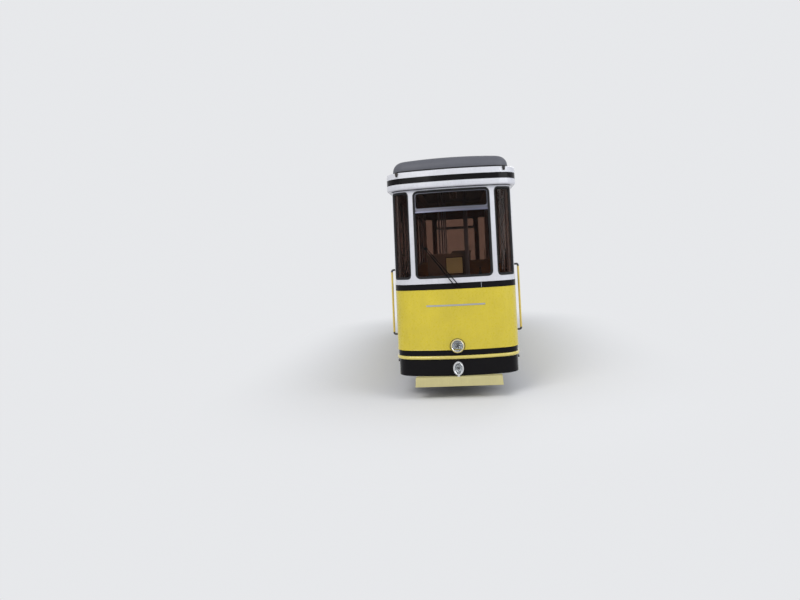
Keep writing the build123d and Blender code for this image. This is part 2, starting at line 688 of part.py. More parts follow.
# Steps below the doors, hung from the side sills
STEP_HEIGHT = 560
STEP_MIDDLE = 1000
STEP_WIDTH = 160
STEP_THICK = 30
HANGER_MIDDLE = 955
HANGER_PLACE = 330
HANGER_THICK = 30
HANGER_WIDTH = 40
step_top = STEP_HEIGHT + STEP_THICK / 2
with BuildPart() as door_steps:
    for end in ENDS.values():
        place = end * (DOOR_START + DOOR_END) / 2
        for side in SIDES.values():
            with Locations((side * STEP_MIDDLE, along(place, STEP_HEIGHT), STEP_HEIGHT)):
                Box(STEP_WIDTH, DOOR_END - DOOR_START, STEP_THICK)
            for shift in (-HANGER_PLACE, HANGER_PLACE):
                hanger_y = along(place + shift, STEP_HEIGHT)
                with Locations((side * HANGER_MIDDLE, hanger_y, (step_top + SIDE_SILL_BOTTOM) / 2)):
                    Box(HANGER_THICK, HANGER_WIDTH, SIDE_SILL_BOTTOM - step_top)
door_steps.part.label = "door_steps"
export_step(door_steps.part, "parts/door_steps.step")

# Grab rails beside the doors
RAIL_RADIUS = 18
RAIL_OFF = 75
RAIL_BEND = 30
RAIL_LOW = 1050
RAIL_HIGH = 2195
RAIL_PLACES = (DOOR_START - 60, DOOR_END + 110)


def grab_rail(end, side, place):
    """Bar with a bent foot and head, swept along its middle line."""
    foot_point = Vector(side * HALF_WIDTH, along(end * place, RAIL_LOW), RAIL_LOW)
    head_point = Vector(side * HALF_WIDTH, along(end * place, RAIL_HIGH), RAIL_HIGH)
    out = Vector(side * RAIL_OFF, 0, 0)
    with BuildPart() as rail:
        with BuildLine() as path:
            FilletPolyline(foot_point, foot_point + out, head_point + out, head_point, radius=RAIL_BEND)
        with BuildSketch(Plane(origin=foot_point, z_dir=out)):
            Circle(RAIL_RADIUS)
        sweep(path=path.line)
    return rail.part


with BuildPart() as grab_rails:
    for end in ENDS.values():
        for place in RAIL_PLACES:
            for side in SIDES.values():
                add(grab_rail(end, side, place))
grab_rails.part.label = "grab_rails"
export_step(grab_rails.part, "parts/grab_rails.step")

# Wipers: two arms that draw together from the pivots in the belt, and the blade under them
WIPER_HEIGHT = 1890
WIPER_MIDDLE = 40
WIPER_SPREAD = 37
WIPER_TIP_SPREAD = 17
WIPER_REACH = (-530, 680)
WIPER_OUT = 34
WIPER_TIP_OUT = 8
WIPER_THICK = 8
WIPER_HALF_WIDTHS = (9, 6)
WIPER_BOSS = 15
WIPER_BOSS_OUT = 48
BLADE_SPAN = (0.42, 1.06)
BLADE_OUT = -12
BLADE_DEEP = 20
BLADE_HALF_WIDTHS = (6, 5)
TIP_SHARE = 0.96
TIP_HALF = 30
TIP_WIDTH = 12
TIP_THICK = 14


def wiper_point(end, along_arm, shift, out):
    """Point over the glass, from the share of the arm's length and a shift across it."""
    x = WIPER_MIDDLE + WIPER_REACH[0] * along_arm + shift
    return nose_point(end, -end * x, WIPER_HEIGHT + WIPER_REACH[1] * along_arm, out)


def wiper_bar(end, start, stop, half_widths, thick):
    """Tapered flat bar from one point to another, with its half widths at start and stop."""
    half_start, half_stop = half_widths
    outward = Vector(0, end * COS, -end * SIN)
    with BuildPart() as bar:
        with BuildSketch(run_plane(start, stop, outward)):
            with BuildLine():
                length = (stop - start).length
                Polyline((0, -half_start), (length, -half_stop), (length, half_stop), (0, half_start),
                         close=True)
            make_face()
        extrude(amount=thick)
    return bar.part


with BuildPart() as wipers:
    for end in ENDS.values():
        for shift, tip_shift in ((-WIPER_SPREAD, -WIPER_TIP_SPREAD), (WIPER_SPREAD, WIPER_TIP_SPREAD)):
            start = wiper_point(end, 0, shift, WIPER_OUT)
            stop = wiper_point(end, 1, tip_shift, WIPER_TIP_OUT)
            add(wiper_bar(end, start, stop, WIPER_HALF_WIDTHS, WIPER_THICK))
            with BuildSketch(end_plane(end, WIPER_HEIGHT, STRIPE)):
                with Locations((WIPER_MIDDLE + shift, 0)):
                    Circle(WIPER_BOSS)
            extrude(amount=WIPER_BOSS_OUT - STRIPE)
        low, high = (wiper_point(end, share, -WIPER_TIP_SPREAD, BLADE_OUT) for share in BLADE_SPAN)
        add(wiper_bar(end, low, high, BLADE_HALF_WIDTHS, BLADE_DEEP))
        low, high = (wiper_point(end, TIP_SHARE, shift, WIPER_TIP_OUT - 2) for shift in (-TIP_HALF, TIP_HALF))
        add(wiper_bar(end, low, high, (TIP_WIDTH, TIP_WIDTH), TIP_THICK))
wipers.part.label = "wipers"
export_step(wipers.part, "parts/wipers.step")

# Lifting brackets at the band's top edge: a tapered plate with a drilled gusset
BRACKET_TURN = 28
BRACKET_HEIGHT = 3850
BRACKET_HALF = 32
BRACKET_TIP_HALF = 16
BRACKET_UP = 30
BRACKET_DOWN = -34
BRACKET_REACH = 46
BRACKET_THICK = 8
GUSSET_HIGH = 22
GUSSET_LOW = -30
GUSSET_EYE = (23, 12)
GUSSET_EYE_RADIUS = 6


def roof_bracket(end, side):
    """Bracket on the rounded corner of the roof band."""
    turn = math.radians(BRACKET_TURN)
    reach = CORNER_RADIUS + BAND_OUT
    place = end * (-CORNER_Y + reach * math.cos(turn))
    spot = Vector(side * (CORNER_X + reach * math.sin(turn)), along(place, BRACKET_HEIGHT), BRACKET_HEIGHT)
    outward = Vector(side * math.sin(turn), end * math.cos(turn), 0)
    facing = Plane(origin=spot + outward * CLEAR, x_dir=Vector(0, 0, 1).cross(outward), z_dir=outward)
    with BuildPart() as bracket:
        with BuildSketch(facing):
            with BuildLine():
                Polyline((-BRACKET_HALF, BRACKET_UP), (BRACKET_HALF, BRACKET_UP),
                         (BRACKET_TIP_HALF, BRACKET_DOWN), (-BRACKET_TIP_HALF, BRACKET_DOWN), close=True)
            make_face()
        extrude(amount=BRACKET_THICK)
        with BuildSketch(Plane(origin=facing.origin, x_dir=outward, z_dir=facing.x_dir)):
            with BuildLine():
                Polyline((0, BRACKET_UP), (BRACKET_REACH, GUSSET_HIGH), (BRACKET_THICK, GUSSET_LOW),
                         (0, GUSSET_LOW), close=True)
            make_face()
            with Locations(GUSSET_EYE):
                Circle(GUSSET_EYE_RADIUS, mode=Mode.SUBTRACT)
        extrude(amount=BRACKET_THICK / 2, both=True)
    return bracket.part


with BuildPart() as roof_hooks:
    for end in ENDS.values():
        for side in SIDES.values():
            add(roof_bracket(end, side))
roof_hooks.part.label = "roof_hooks"
export_step(roof_hooks.part, "parts/roof_hooks.step")

# Benches on the three middle platforms, facing each other across each compartment
SEAT_HEIGHT = 430
SEAT_WIDTH = 600
SEAT_MIDDLE = 620
SEAT_FRONT = 500
SEAT_BACK = 90
SEAT_ROUND = 6
BACK_HIGH = 900
BACK_THICK = 28
LEG_SECTION = 30
LEG_PLACES = (110, 430)
LEG_SHIFT = 220
BEARER_DROP = 30
benches = []
for index in (1, 2, 3):
    low_edge, high_edge = PLATFORM_EDGES[index], PLATFORM_EDGES[index + 1]
    benches.append((index, low_edge + 90, 1))
    benches.append((index, high_edge - 30, -1))


def bench_plane(index, place, facing, side):
    """Plane on a platform at the back of a bench: X along the seat's depth, Y plumb."""
    height = FLOOR_LOW + (PLATFORM_EDGES[index + 1] - place) * FALL
    spot = (side * SEAT_MIDDLE, along(place, height), height)
    return Plane(origin=spot, x_dir=(0, facing * COS, -facing * SIN), z_dir=(facing, 0, 0))


with BuildPart() as bench_seats:
    for index, place, facing in benches:
        for side in SIDES.values():
            with BuildSketch(bench_plane(index, place, facing, side)):
                with BuildLine():
                    FilletPolyline((0, BACK_HIGH), (SEAT_BACK, SEAT_HEIGHT + 10),
                                   (SEAT_FRONT, SEAT_HEIGHT + 25), (SEAT_FRONT, SEAT_HEIGHT + 45),
                                   (SEAT_BACK + 25, SEAT_HEIGHT + 32),
                                   (BACK_THICK, BACK_HIGH), radius=SEAT_ROUND, close=True)
                make_face()
            extrude(amount=SEAT_WIDTH / 2, both=True)
bench_seats.part.label = "bench_seats"
export_step(bench_seats.part, "parts/bench_seats.step")

with BuildPart() as bench_frames:
    for index, place, facing in benches:
        for side in SIDES.values():
            plane = bench_plane(index, place, facing, side)
            back_leg, front_leg = LEG_PLACES
            for shift in (-LEG_SHIFT, LEG_SHIFT):
                with BuildSketch(plane.offset(shift)):
                    with Locations(*[(leg, SEAT_HEIGHT / 2) for leg in LEG_PLACES]):
                        Rectangle(LEG_SECTION, SEAT_HEIGHT)
                    with Locations(((back_leg + front_leg) / 2, SEAT_HEIGHT - BEARER_DROP)):
                        Rectangle(front_leg - back_leg - LEG_SECTION, LEG_SECTION)
                extrude(amount=LEG_SECTION / 2, both=True)
bench_frames.part.label = "bench_frames"
export_step(bench_frames.part, "parts/bench_frames.step")

# Stanchions from the floor to the roof, at the steps between the platforms
STANCHION_SHIFT = 22
STANCHION_MIDDLE = 280
STANCHION_RADIUS = 17
STANCHION_GAP = 3
STANCHION_TOP = BAND_TOP + ROOF_RISE - ROOF_SHELL - 16
with BuildPart() as stanchions:
    for index in (1, 2, 3, 4):
        place = PLATFORM_EDGES[index] + STANCHION_SHIFT
        low = FLOOR_LOW + platform_rise(index) - STANCHION_SHIFT * FALL + STANCHION_GAP
        for side in SIDES.values():
            with BuildSketch(Plane(origin=(side * STANCHION_MIDDLE, along(place, low), low))):
                Circle(STANCHION_RADIUS)
            raise_plumb(None, STANCHION_TOP - low)
stanchions.part.label = "stanchions"
export_step(stanchions.part, "parts/stanchions.step")

# Driver's desks behind the windscreens, each with a taller console on its inner edge
DESK_TOP = 2000
DESK_GAP = 90
DESK_WIDTH = 1100
DESK_DEPTH = 330
CONSOLE_TOP = 2440
CONSOLE_DEPTH = 170
CONSOLE_WIDTH = 560
CONSOLE_MIDDLE = -175
CONSOLE_LIP = 30
CONSOLE_LIP_HIGH = 60
DESK_FOOT_GAP = 12
with BuildPart() as driver_desks:
    for end, index in ((-1, 0), (1, len(PLATFORM_EDGES) - 2)):
        desk_foot = FLOOR_LOW + platform_rise(index) + DESK_FOOT_GAP
        outer = end * (HALF_LENGTH - WALL - DESK_GAP)
        with BuildSketch(level(desk_foot)):
            with Locations((0, outer - end * DESK_DEPTH / 2)):
                Rectangle(DESK_WIDTH, DESK_DEPTH)
        raise_plumb(None, DESK_TOP - desk_foot)
        back = outer - end * (DESK_DEPTH - CONSOLE_DEPTH / 2)
        with BuildSketch(level(DESK_TOP)):
            with Locations((-end * CONSOLE_MIDDLE, back)):
                Rectangle(CONSOLE_WIDTH, CONSOLE_DEPTH)
        raise_plumb(None, CONSOLE_TOP - DESK_TOP)
        with BuildSketch(level(CONSOLE_TOP - CONSOLE_LIP_HIGH)):
            with Locations((-end * CONSOLE_MIDDLE, back)):
                Rectangle(CONSOLE_WIDTH + 2 * CONSOLE_LIP, CONSOLE_DEPTH + 2 * CONSOLE_LIP)
        raise_plumb(None, CONSOLE_LIP_HIGH)
driver_desks.part.label = "driver_desks"
export_step(driver_desks.part, "parts/driver_desks.step")

# Wheelsets: wheels with two flanges on the left and flangeless rollers on the right, which can roll across
# the rails of a passing loop
RAIL_MIDDLE = (GAUGE + RAIL_HEAD) / 2
JOURNAL = 50
JOURNAL_END = 800
SHOULDER = 665
SEAT = 65
axle_places = {f"{name}_{part}": place + shift * WHEELBASE / 2
               for name, place in bogie_places.items() for part, shift in (("lower", -1), ("upper", 1))}

# Profiles of the wheels, as distance across from the middle of the rail and radius, from left to right
TIP = WHEEL_RADIUS + FLANGE
FLANGED_PROFILE = (
    (-95, SEAT), (-95, 105), (-20, 130), (-20, 270), (-60, 280), (-60, TIP - 6), (-52, TIP), (-42, TIP),
    (-34, WHEEL_RADIUS), (34, WHEEL_RADIUS), (42, TIP), (52, TIP), (60, TIP - 6), (60, 280), (14, 270),
    (14, 130), (70, 105), (70, SEAT + 5),
)
ROLLER_PROFILE = (
    (-90, SEAT + 5), (-90, 105), (-17, 130), (-17, 265), (-105, 275), (-105, WHEEL_RADIUS - 4),
    (-101, WHEEL_RADIUS), (101, WHEEL_RADIUS), (105, WHEEL_RADIUS - 4), (105, 275), (17, 265), (17, 130),
    (90, 105), (90, SEAT),
)

for name, y in axle_places.items():
    wheels = [(across - RAIL_MIDDLE, radius) for across, radius in FLANGED_PROFILE]
    wheels += [(across + RAIL_MIDDLE, radius) for across, radius in ROLLER_PROFILE]
    with BuildPart() as wheelset:
        with BuildSketch(Plane(origin=(0, y, AXLE_HEIGHT), x_dir=(1, 0, 0), z_dir=(0, -1, 0))):
            with BuildLine():
                Polyline((-JOURNAL_END, 0), (-JOURNAL_END, JOURNAL), (-SHOULDER, JOURNAL), (-SHOULDER, SEAT),
                         *wheels, (SHOULDER, SEAT), (SHOULDER, JOURNAL), (JOURNAL_END, JOURNAL),
                         (JOURNAL_END, 0), close=True)
            make_face()
        revolve(axis=Axis((0, y, AXLE_HEIGHT), (1, 0, 0)))
    wheelset.part.label = f"{name}_wheelset"
    export_step(wheelset.part, f"parts/{name}_wheelset.step")

# Bogie frames: side plates with horn gaps for the axleboxes, spring shoes, transoms, headstocks, pivot ring
PLATE_IN = 680
PLATE_OUT = 710
PLATE_TOP = 690
PLATE_FLANGE_IN = 20
PLATE_FLANGE_WIDTH = 70
PLATE_FLANGE_THICK = 14
BOGIE_HALF = 1120
HORN_HALF = 105
HORN_WIDTH = 70
HORN_LOW = 228
HORN_HIGH = 480
KEEP = 28
KEEP_WIDTH = 55
SPRING_HALF = 330
SPRING_OUT = 812
SHOE_LENGTH = 64
SHOE_LAP = 10
TRANSOM_PLACE = 210
TRANSOM_LENGTH = 120
TRANSOM_LOW = 440
TRANSOM_HIGH = 610
HEADSTOCK_LOW = 610
HEADSTOCK_LENGTH = 40
BRIDGE_WIDTH = 300
BRIDGE_LOW = 510
BRIDGE_HIGH = 590
RING_RADIUS = 150
RING_TOP = 705
half_base = WHEELBASE / 2
horn_outer = half_base + HORN_HALF + HORN_WIDTH
horn_inner = half_base - HORN_HALF - HORN_WIDTH

# Lower edge of a side plate from its end to its middle, as place from the bogie's middle and height
PLATE_EDGE = (
    (BOGIE_HALF, 600), (horn_outer + 50, 565), (horn_outer, 500), (horn_outer, HORN_LOW),
    (half_base + HORN_HALF, HORN_LOW), (half_base + HORN_HALF, HORN_HIGH),
    (half_base - HORN_HALF, HORN_HIGH), (half_base - HORN_HALF, HORN_LOW), (horn_inner, HORN_LOW),
    (horn_inner, 490), (horn_inner - 70, 520), (240, 430), (0, 430),
)
SLOT_HEIGHT = 545
SLOT_SPREAD = 120
SLOT_WIDTH = 90
PORT_PLACE = 430
PORT_HEIGHT = 600
PORT_RADIUS = 38

# Guards in front of the wheels, as distance across from the middle of the rail and height
GUARD_FOOT = 70
GUARD_NECK = 420
GUARD_SHOULDER = 560
GUARD_HALF = 85
GUARD_FOOT_HALF = 45
GUARD_THICK = 26
GUARD_BACK = 12
GUARD_DROP = 10

# Leaf springs: the longest leaf on top, with its middle lowest and rolled eyes at its ends
LEAF_THICKNESS = 10
LEAVES = 6
LEAF_STEP = 50
SPRING_TOP = 528
SPRING_RISE = 45
SPRING_WIDTH = 70
EYE_RADIUS = 18
BUCKLE_HALF = 44
BUCKLE_OUT = 6
BUCKLE_RISE = 14
spring_radius = (SPRING_HALF ** 2 + SPRING_RISE ** 2) / (2 * SPRING_RISE)


def spring_spot(place, radius):
    """Point of a leaf's arc at a distance along the bogie from the axle."""
    return (place, SPRING_TOP + spring_radius - math.sqrt(radius ** 2 - place ** 2))


eye_height = spring_spot(SPRING_HALF, spring_radius + LEAF_THICKNESS / 2)[1]
shoe_low = eye_height + EYE_RADIUS + 1


def bogie_side(side, y, inset=0):
    """Plane along a bogie's side plate, looking out, with its X along the bogie."""
    return Plane(origin=(side * (PLATE_IN + inset), y, 0), x_dir=(0, side, 0), z_dir=(side, 0, 0))


for name, y in bogie_places.items():
    with BuildPart() as bogie_frame:
        for side in SIDES.values():
            with BuildSketch(bogie_side(side, y)):
                with BuildLine():
                    Polyline((0, PLATE_TOP), (BOGIE_HALF, PLATE_TOP), *PLATE_EDGE)
                    mirror(about=Plane.YZ)
                make_face()
                with Locations((0, SLOT_HEIGHT)):
                    SlotCenterToCenter(SLOT_SPREAD, SLOT_WIDTH, mode=Mode.SUBTRACT)
                with Locations((-PORT_PLACE, PORT_HEIGHT), (PORT_PLACE, PORT_HEIGHT)):
                    Circle(PORT_RADIUS, mode=Mode.SUBTRACT)
            extrude(amount=PLATE_OUT - PLATE_IN)
            # Flange along the top, keeps under the horn gaps, and shoes over the spring eyes
            with BuildSketch(bogie_side(side, y, -PLATE_FLANGE_IN)):
                with Locations((0, PLATE_TOP - PLATE_FLANGE_THICK / 2)):
                    Rectangle(2 * BOGIE_HALF, PLATE_FLANGE_THICK)
            extrude(amount=PLATE_FLANGE_WIDTH)
            with BuildSketch(bogie_side(side, y)):
                with Locations((-half_base, HORN_LOW + KEEP / 2), (half_base, HORN_LOW + KEEP / 2)):
                    Rectangle(2 * (HORN_HALF + HORN_WIDTH), KEEP)
            extrude(amount=KEEP_WIDTH)
            with BuildSketch(bogie_side(side, y, PLATE_OUT - PLATE_IN - SHOE_LAP)):
                shoes = [(base + reach, (shoe_low + PLATE_TOP) / 2)
                         for base in (-half_base, half_base) for reach in (-SPRING_HALF, SPRING_HALF)]
                with Locations(*shoes):
                    Rectangle(SHOE_LENGTH, PLATE_TOP - shoe_low)
            extrude(amount=SPRING_OUT - PLATE_OUT + SHOE_LAP)
        for shift in (-1, 1):
            with Locations((0, y + shift * TRANSOM_PLACE, (TRANSOM_LOW + TRANSOM_HIGH) / 2)):
                Box(2 * PLATE_IN, TRANSOM_LENGTH, TRANSOM_HIGH - TRANSOM_LOW)
            headstock_y = y + shift * (BOGIE_HALF - HEADSTOCK_LENGTH / 2)
            with Locations((0, headstock_y, (HEADSTOCK_LOW + PLATE_TOP) / 2)):
                Box(2 * PLATE_IN, HEADSTOCK_LENGTH, PLATE_TOP - HEADSTOCK_LOW)
            # Guards, with their backs cut away below the headstock
            for side in SIDES.values():
                with BuildSketch(Plane(origin=(side * RAIL_MIDDLE, y + shift * BOGIE_HALF, 0),
                                       x_dir=(1, 0, 0), z_dir=(0, -1, 0))):
                    with BuildLine():
                        guard_top = PLATE_TOP - GUARD_DROP
                        Polyline((0, guard_top), (GUARD_HALF, guard_top), (GUARD_HALF, GUARD_SHOULDER),
                                 (GUARD_FOOT_HALF, GUARD_NECK), (GUARD_FOOT_HALF, GUARD_FOOT),
                                 (0, GUARD_FOOT))
                        mirror(about=Plane.YZ)
                    make_face()
                extrude(amount=-shift * GUARD_THICK)
                back_y = y + shift * (BOGIE_HALF + GUARD_BACK / 2)
                with Locations((side * RAIL_MIDDLE, back_y, (GUARD_FOOT + HEADSTOCK_LOW) / 2)):
                    Box(2 * GUARD_HALF, GUARD_BACK, HEADSTOCK_LOW - GUARD_FOOT, mode=Mode.SUBTRACT)
        with Locations((0, y, (BRIDGE_LOW + BRIDGE_HIGH) / 2)):
            Box(BRIDGE_WIDTH, 2 * TRANSOM_PLACE, BRIDGE_HIGH - BRIDGE_LOW)
        with Locations((0, y, (RING_TOP + BRIDGE_LOW) / 2)):
            Cylinder(RING_RADIUS, RING_TOP - BRIDGE_LOW)
        with Locations((0, y, RING_TOP)):
            Cylinder(PIVOT_RADIUS + CLEAR, RING_TOP, mode=Mode.SUBTRACT)
    bogie_frame.part.label = f"{name}_bogie_frame"
    export_step(bogie_frame.part, f"parts/{name}_bogie_frame.step")

# Axleboxes in the horn gaps: a body, wear flanges outside the plate and a bolted round cover
BOX_LOW = 260
BOX_HIGH = 454
BOX_START = 4
BOX_DEPTH = 150
BOX_ROUND = 22
HORN_GAP = 1
WEAR_LAP = 28
WEAR_SHORT = 30
WEAR_THICK = 18
WEAR_ROUND = 14
COVER_TAPER = 12

# Steps of the cover: start along the axle from the box's face, radius and thickness
COVER_STEPS = ((0, 80, 22), (22, 34, 10))


def axlebox(side, axle):
    """Axlebox with the hole for its journal."""
    box_middle = (BOX_LOW + BOX_HIGH) / 2
    with BuildPart() as axle_box:
        with BuildSketch(bogie_side(side, axle, BOX_START)):
            with Locations((0, box_middle)):
                RectangleRounded(2 * (HORN_HALF - HORN_GAP), BOX_HIGH - BOX_LOW, BOX_ROUND)
        extrude(amount=BOX_DEPTH)
        with BuildSketch(bogie_side(side, axle, PLATE_OUT - PLATE_IN + HORN_GAP)):
            with Locations((0, box_middle)):
                wear_height = BOX_HIGH - BOX_LOW - 2 * WEAR_SHORT
                RectangleRounded(2 * (HORN_HALF + WEAR_LAP), wear_height, WEAR_ROUND)
        extrude(amount=WEAR_THICK)
        for start, radius, thick in COVER_STEPS:
            with BuildSketch(bogie_side(side, axle, BOX_START + BOX_DEPTH + start)):
                with Locations((0, AXLE_HEIGHT)):
                    Circle(radius)
            extrude(amount=thick, taper=COVER_TAPER)
        with BuildSketch(bogie_side(side, axle)):
            with Locations((0, AXLE_HEIGHT)):
                Circle(JOURNAL + HORN_GAP)
        extrude(amount=JOURNAL_END - PLATE_IN + BOX_START, mode=Mode.SUBTRACT)
    return axle_box.part


def leaf_spring(side, axle):
    """Laminated spring over an axlebox, with rolled eyes and the buckle round its middle."""
    inset = SPRING_OUT - SPRING_WIDTH - PLATE_IN
    with BuildPart() as spring:
        with BuildSketch(bogie_side(side, axle, inset)):
            for leaf in range(LEAVES):
                upper = spring_radius + leaf * LEAF_THICKNESS
                lower = upper + LEAF_THICKNESS
                reach = SPRING_HALF - leaf * LEAF_STEP
                with BuildLine():
                    for radius in (upper, lower):
                        ThreePointArc(*[spring_spot(place, radius) for place in (-reach, 0, reach)])
                    for place in (-reach, reach):
                        Line(spring_spot(place, upper), spring_spot(place, lower))
                make_face()
            with Locations((-SPRING_HALF, eye_height), (SPRING_HALF, eye_height)):
                Circle(EYE_RADIUS)
        extrude(amount=SPRING_WIDTH)
        buckle_top = SPRING_TOP + BUCKLE_RISE
        with BuildSketch(bogie_side(side, axle, inset - BUCKLE_OUT)):
            with Locations((0, (BOX_HIGH + buckle_top) / 2)):
                Rectangle(2 * BUCKLE_HALF, buckle_top - BOX_HIGH)
        extrude(amount=SPRING_WIDTH + 2 * BUCKLE_OUT)
    return spring.part


for name, y in bogie_places.items():
    with BuildPart() as axleboxes:
        for side in SIDES.values():
            for shift in (-half_base, half_base):
                add(axlebox(side, y + shift))
    axleboxes.part.label = f"{name}_axleboxes"
    export_step(axleboxes.part, f"parts/{name}_axleboxes.step")

    with BuildPart() as leaf_springs:
        for side in SIDES.values():
            for shift in (-half_base, half_base):
                add(leaf_spring(side, y + shift))
    leaf_springs.part.label = f"{name}_leaf_springs"
    export_step(leaf_springs.part, f"parts/{name}_leaf_springs.step")

# Rail brakes between the wheels on the guiding side: two levers with grooved jaws, held open over the rail,
# on pins between two yokes, and closed by a pack of disc springs across their tops
JAW_IN = 40
JAW_HALF = 120
LEVER_HALF = 42
PIN_SPREAD = 68
PIN_HEIGHT = 320
PIN_RADIUS = 18
PIN_HALF = 186
YOKE_IN = 152
YOKE_THICK = 20
YOKE_PAD = (150, 90, 16)
PACK_HEIGHT = 500
PACK_HALF = 84
PACK_INNER = 30
PACK_OUTER = 42
DISCS = 10
ROD_RADIUS = 14
ROD_OUT = 50
GROOVES = 9
GROOVE_CUT = (10, 7, 64)
GROOVE_HEIGHT = 43
groove_pitch = 2 * JAW_HALF / (GROOVES + 1)
disc_pitch = 2 * PACK_HALF / DISCS

# Outlines of a jaw and of the lever above it, as distance from the middle of the rail and height
JAW_PROFILE = ((JAW_IN, 12), (JAW_IN, 74), (52, 92), (52, 200), (92, 200), (100, 110), (84, 40), (66, 12))
LEVER_PROFILE = (
    (50, 180), (42, 290), (42, 350), (PACK_HALF, 450), (PACK_HALF, 535), (116, 545), (124, 470), (98, 350),
    (98, 290), (94, 180),
)

# Half outline of a yoke, from its foot to the transom
YOKE_PROFILE = ((0, 280), (95, 280), (112, 300), (112, 360), (70, TRANSOM_LOW), (0, TRANSOM_LOW))

for name, y in bogie_places.items():
    rail = Plane(origin=(-RAIL_MIDDLE, y, 0), x_dir=(1, 0, 0), z_dir=(0, -1, 0))
    with BuildPart() as brake:
        for hand in (-1, 1):
            for profile, half in ((JAW_PROFILE, JAW_HALF), (LEVER_PROFILE, LEVER_HALF)):
                with BuildSketch(rail):
                    with BuildLine():
                        Polyline([(hand * x, height) for x, height in profile], close=True)
                    make_face()
                extrude(amount=half, both=True)
            with BuildSketch(rail):
                with Locations((hand * PIN_SPREAD, PIN_HEIGHT)):
                    Circle(PIN_RADIUS)
            extrude(amount=PIN_HALF, both=True)
            grooves = [y - JAW_HALF + groove_pitch * (count + 1) for count in range(GROOVES)]
            with Locations(*[(hand * JAW_IN - RAIL_MIDDLE, groove, GROOVE_HEIGHT) for groove in grooves]):
                Box(*GROOVE_CUT, mode=Mode.SUBTRACT)
        for shift in (-1, 1):
            with BuildSketch(rail.offset(-shift * YOKE_IN)):
                with BuildLine():
                    Polyline(*YOKE_PROFILE)
                    mirror(about=Plane.YZ)
                make_face()
            extrude(amount=-shift * YOKE_THICK)
            pad_width, pad_length, pad_thick = YOKE_PAD
            pad_y = y + shift * (YOKE_IN + pad_length / 2)
            with Locations((-RAIL_MIDDLE, pad_y, TRANSOM_LOW - pad_thick / 2)):
                Box(pad_width, pad_length, pad_thick)
        # Pack of disc springs on its rod
        ridges = []
        for count in range(DISCS):
            start = -PACK_HALF + count * disc_pitch
            ridges += [(start, PACK_INNER), (start + disc_pitch / 2, PACK_OUTER)]
        with BuildSketch(Plane(origin=(-RAIL_MIDDLE, y, PACK_HEIGHT), x_dir=(1, 0, 0), z_dir=(0, -1, 0))):
            with BuildLine():
                tip = PACK_HALF + ROD_OUT
                Polyline((-tip, 0), (-tip, ROD_RADIUS), (-PACK_HALF, ROD_RADIUS), *ridges,
                         (PACK_HALF, PACK_INNER), (PACK_HALF, ROD_RADIUS), (tip, ROD_RADIUS), (tip, 0),
                         close=True)
            make_face()
        revolve(axis=Axis((-RAIL_MIDDLE, y, PACK_HEIGHT), (1, 0, 0)))
    brake.part.label = f"{name}_rail_brake"
    export_step(brake.part, f"parts/{name}_rail_brake.step")

# Rope socket at the uphill end, low enough for the rope to pass under the beam
ROPE_HEIGHT = 140
ROPE_RADIUS = 18
SOCKET_BACK = 400
SOCKET_LENGTH = 260
SOCKET_BORE = 160
SOCKET_START = -60
SOCKET_RADIUS = 62
COLLAR_RADIUS = 46
NECK_RADIUS = 38
COLLAR_LENGTH = 40
HANGER_HALF = 20
ANCHOR_PLACE = -255
ANCHOR_SIZE = (260, 330)
ANCHOR_THICK = 24
socket_tail = along(HALF_LENGTH, ROPE_HEIGHT) - SOCKET_BACK

# Outline of the plate that hangs from the frame, as place from the socket's tail and height
HANGER_PROFILE = (
    (SOCKET_START, ROPE_HEIGHT - 45), (40, ROPE_HEIGHT - 45), (40, ROPE_HEIGHT + 90), (-90, FRAME_BOTTOM),
    (-420, FRAME_BOTTOM), (-420, FRAME_BOTTOM - 60),
)

with BuildPart() as rope_socket:
    with BuildSketch(Plane(origin=(0, socket_tail, ROPE_HEIGHT), x_dir=(0, 1, 0), z_dir=(1, 0, 0))):
        with BuildLine():
            collar_start = SOCKET_LENGTH - COLLAR_LENGTH
            Polyline((SOCKET_START, 0), (SOCKET_START, SOCKET_RADIUS), (70, SOCKET_RADIUS),
                     (collar_start, NECK_RADIUS), (collar_start, COLLAR_RADIUS),
                     (SOCKET_LENGTH, COLLAR_RADIUS), (SOCKET_LENGTH, 0), close=True)
        make_face()
    revolve(axis=Axis((0, 0, ROPE_HEIGHT), (0, 1, 0)))
    with BuildSketch(Plane(origin=(0, socket_tail, 0), x_dir=(0, 1, 0), z_dir=(1, 0, 0))):
        with BuildLine():
            Polyline(*HANGER_PROFILE, close=True)
        make_face()
    extrude(amount=HANGER_HALF, both=True)
    with BuildSketch(Plane(origin=(0, socket_tail + ANCHOR_PLACE, FRAME_BOTTOM), z_dir=(0, 0, -1))):
        Rectangle(*ANCHOR_SIZE)
    extrude(amount=ANCHOR_THICK)
    mouth = (0, socket_tail + SOCKET_LENGTH, ROPE_HEIGHT)
    with BuildSketch(Plane(origin=mouth, x_dir=(1, 0, 0), z_dir=(0, 1, 0))):
        Circle(ROPE_RADIUS)
    extrude(amount=-SOCKET_BORE, mode=Mode.SUBTRACT)
rope_socket.part.label = "rope_socket"
export_step(rope_socket.part, "parts/rope_socket.step")

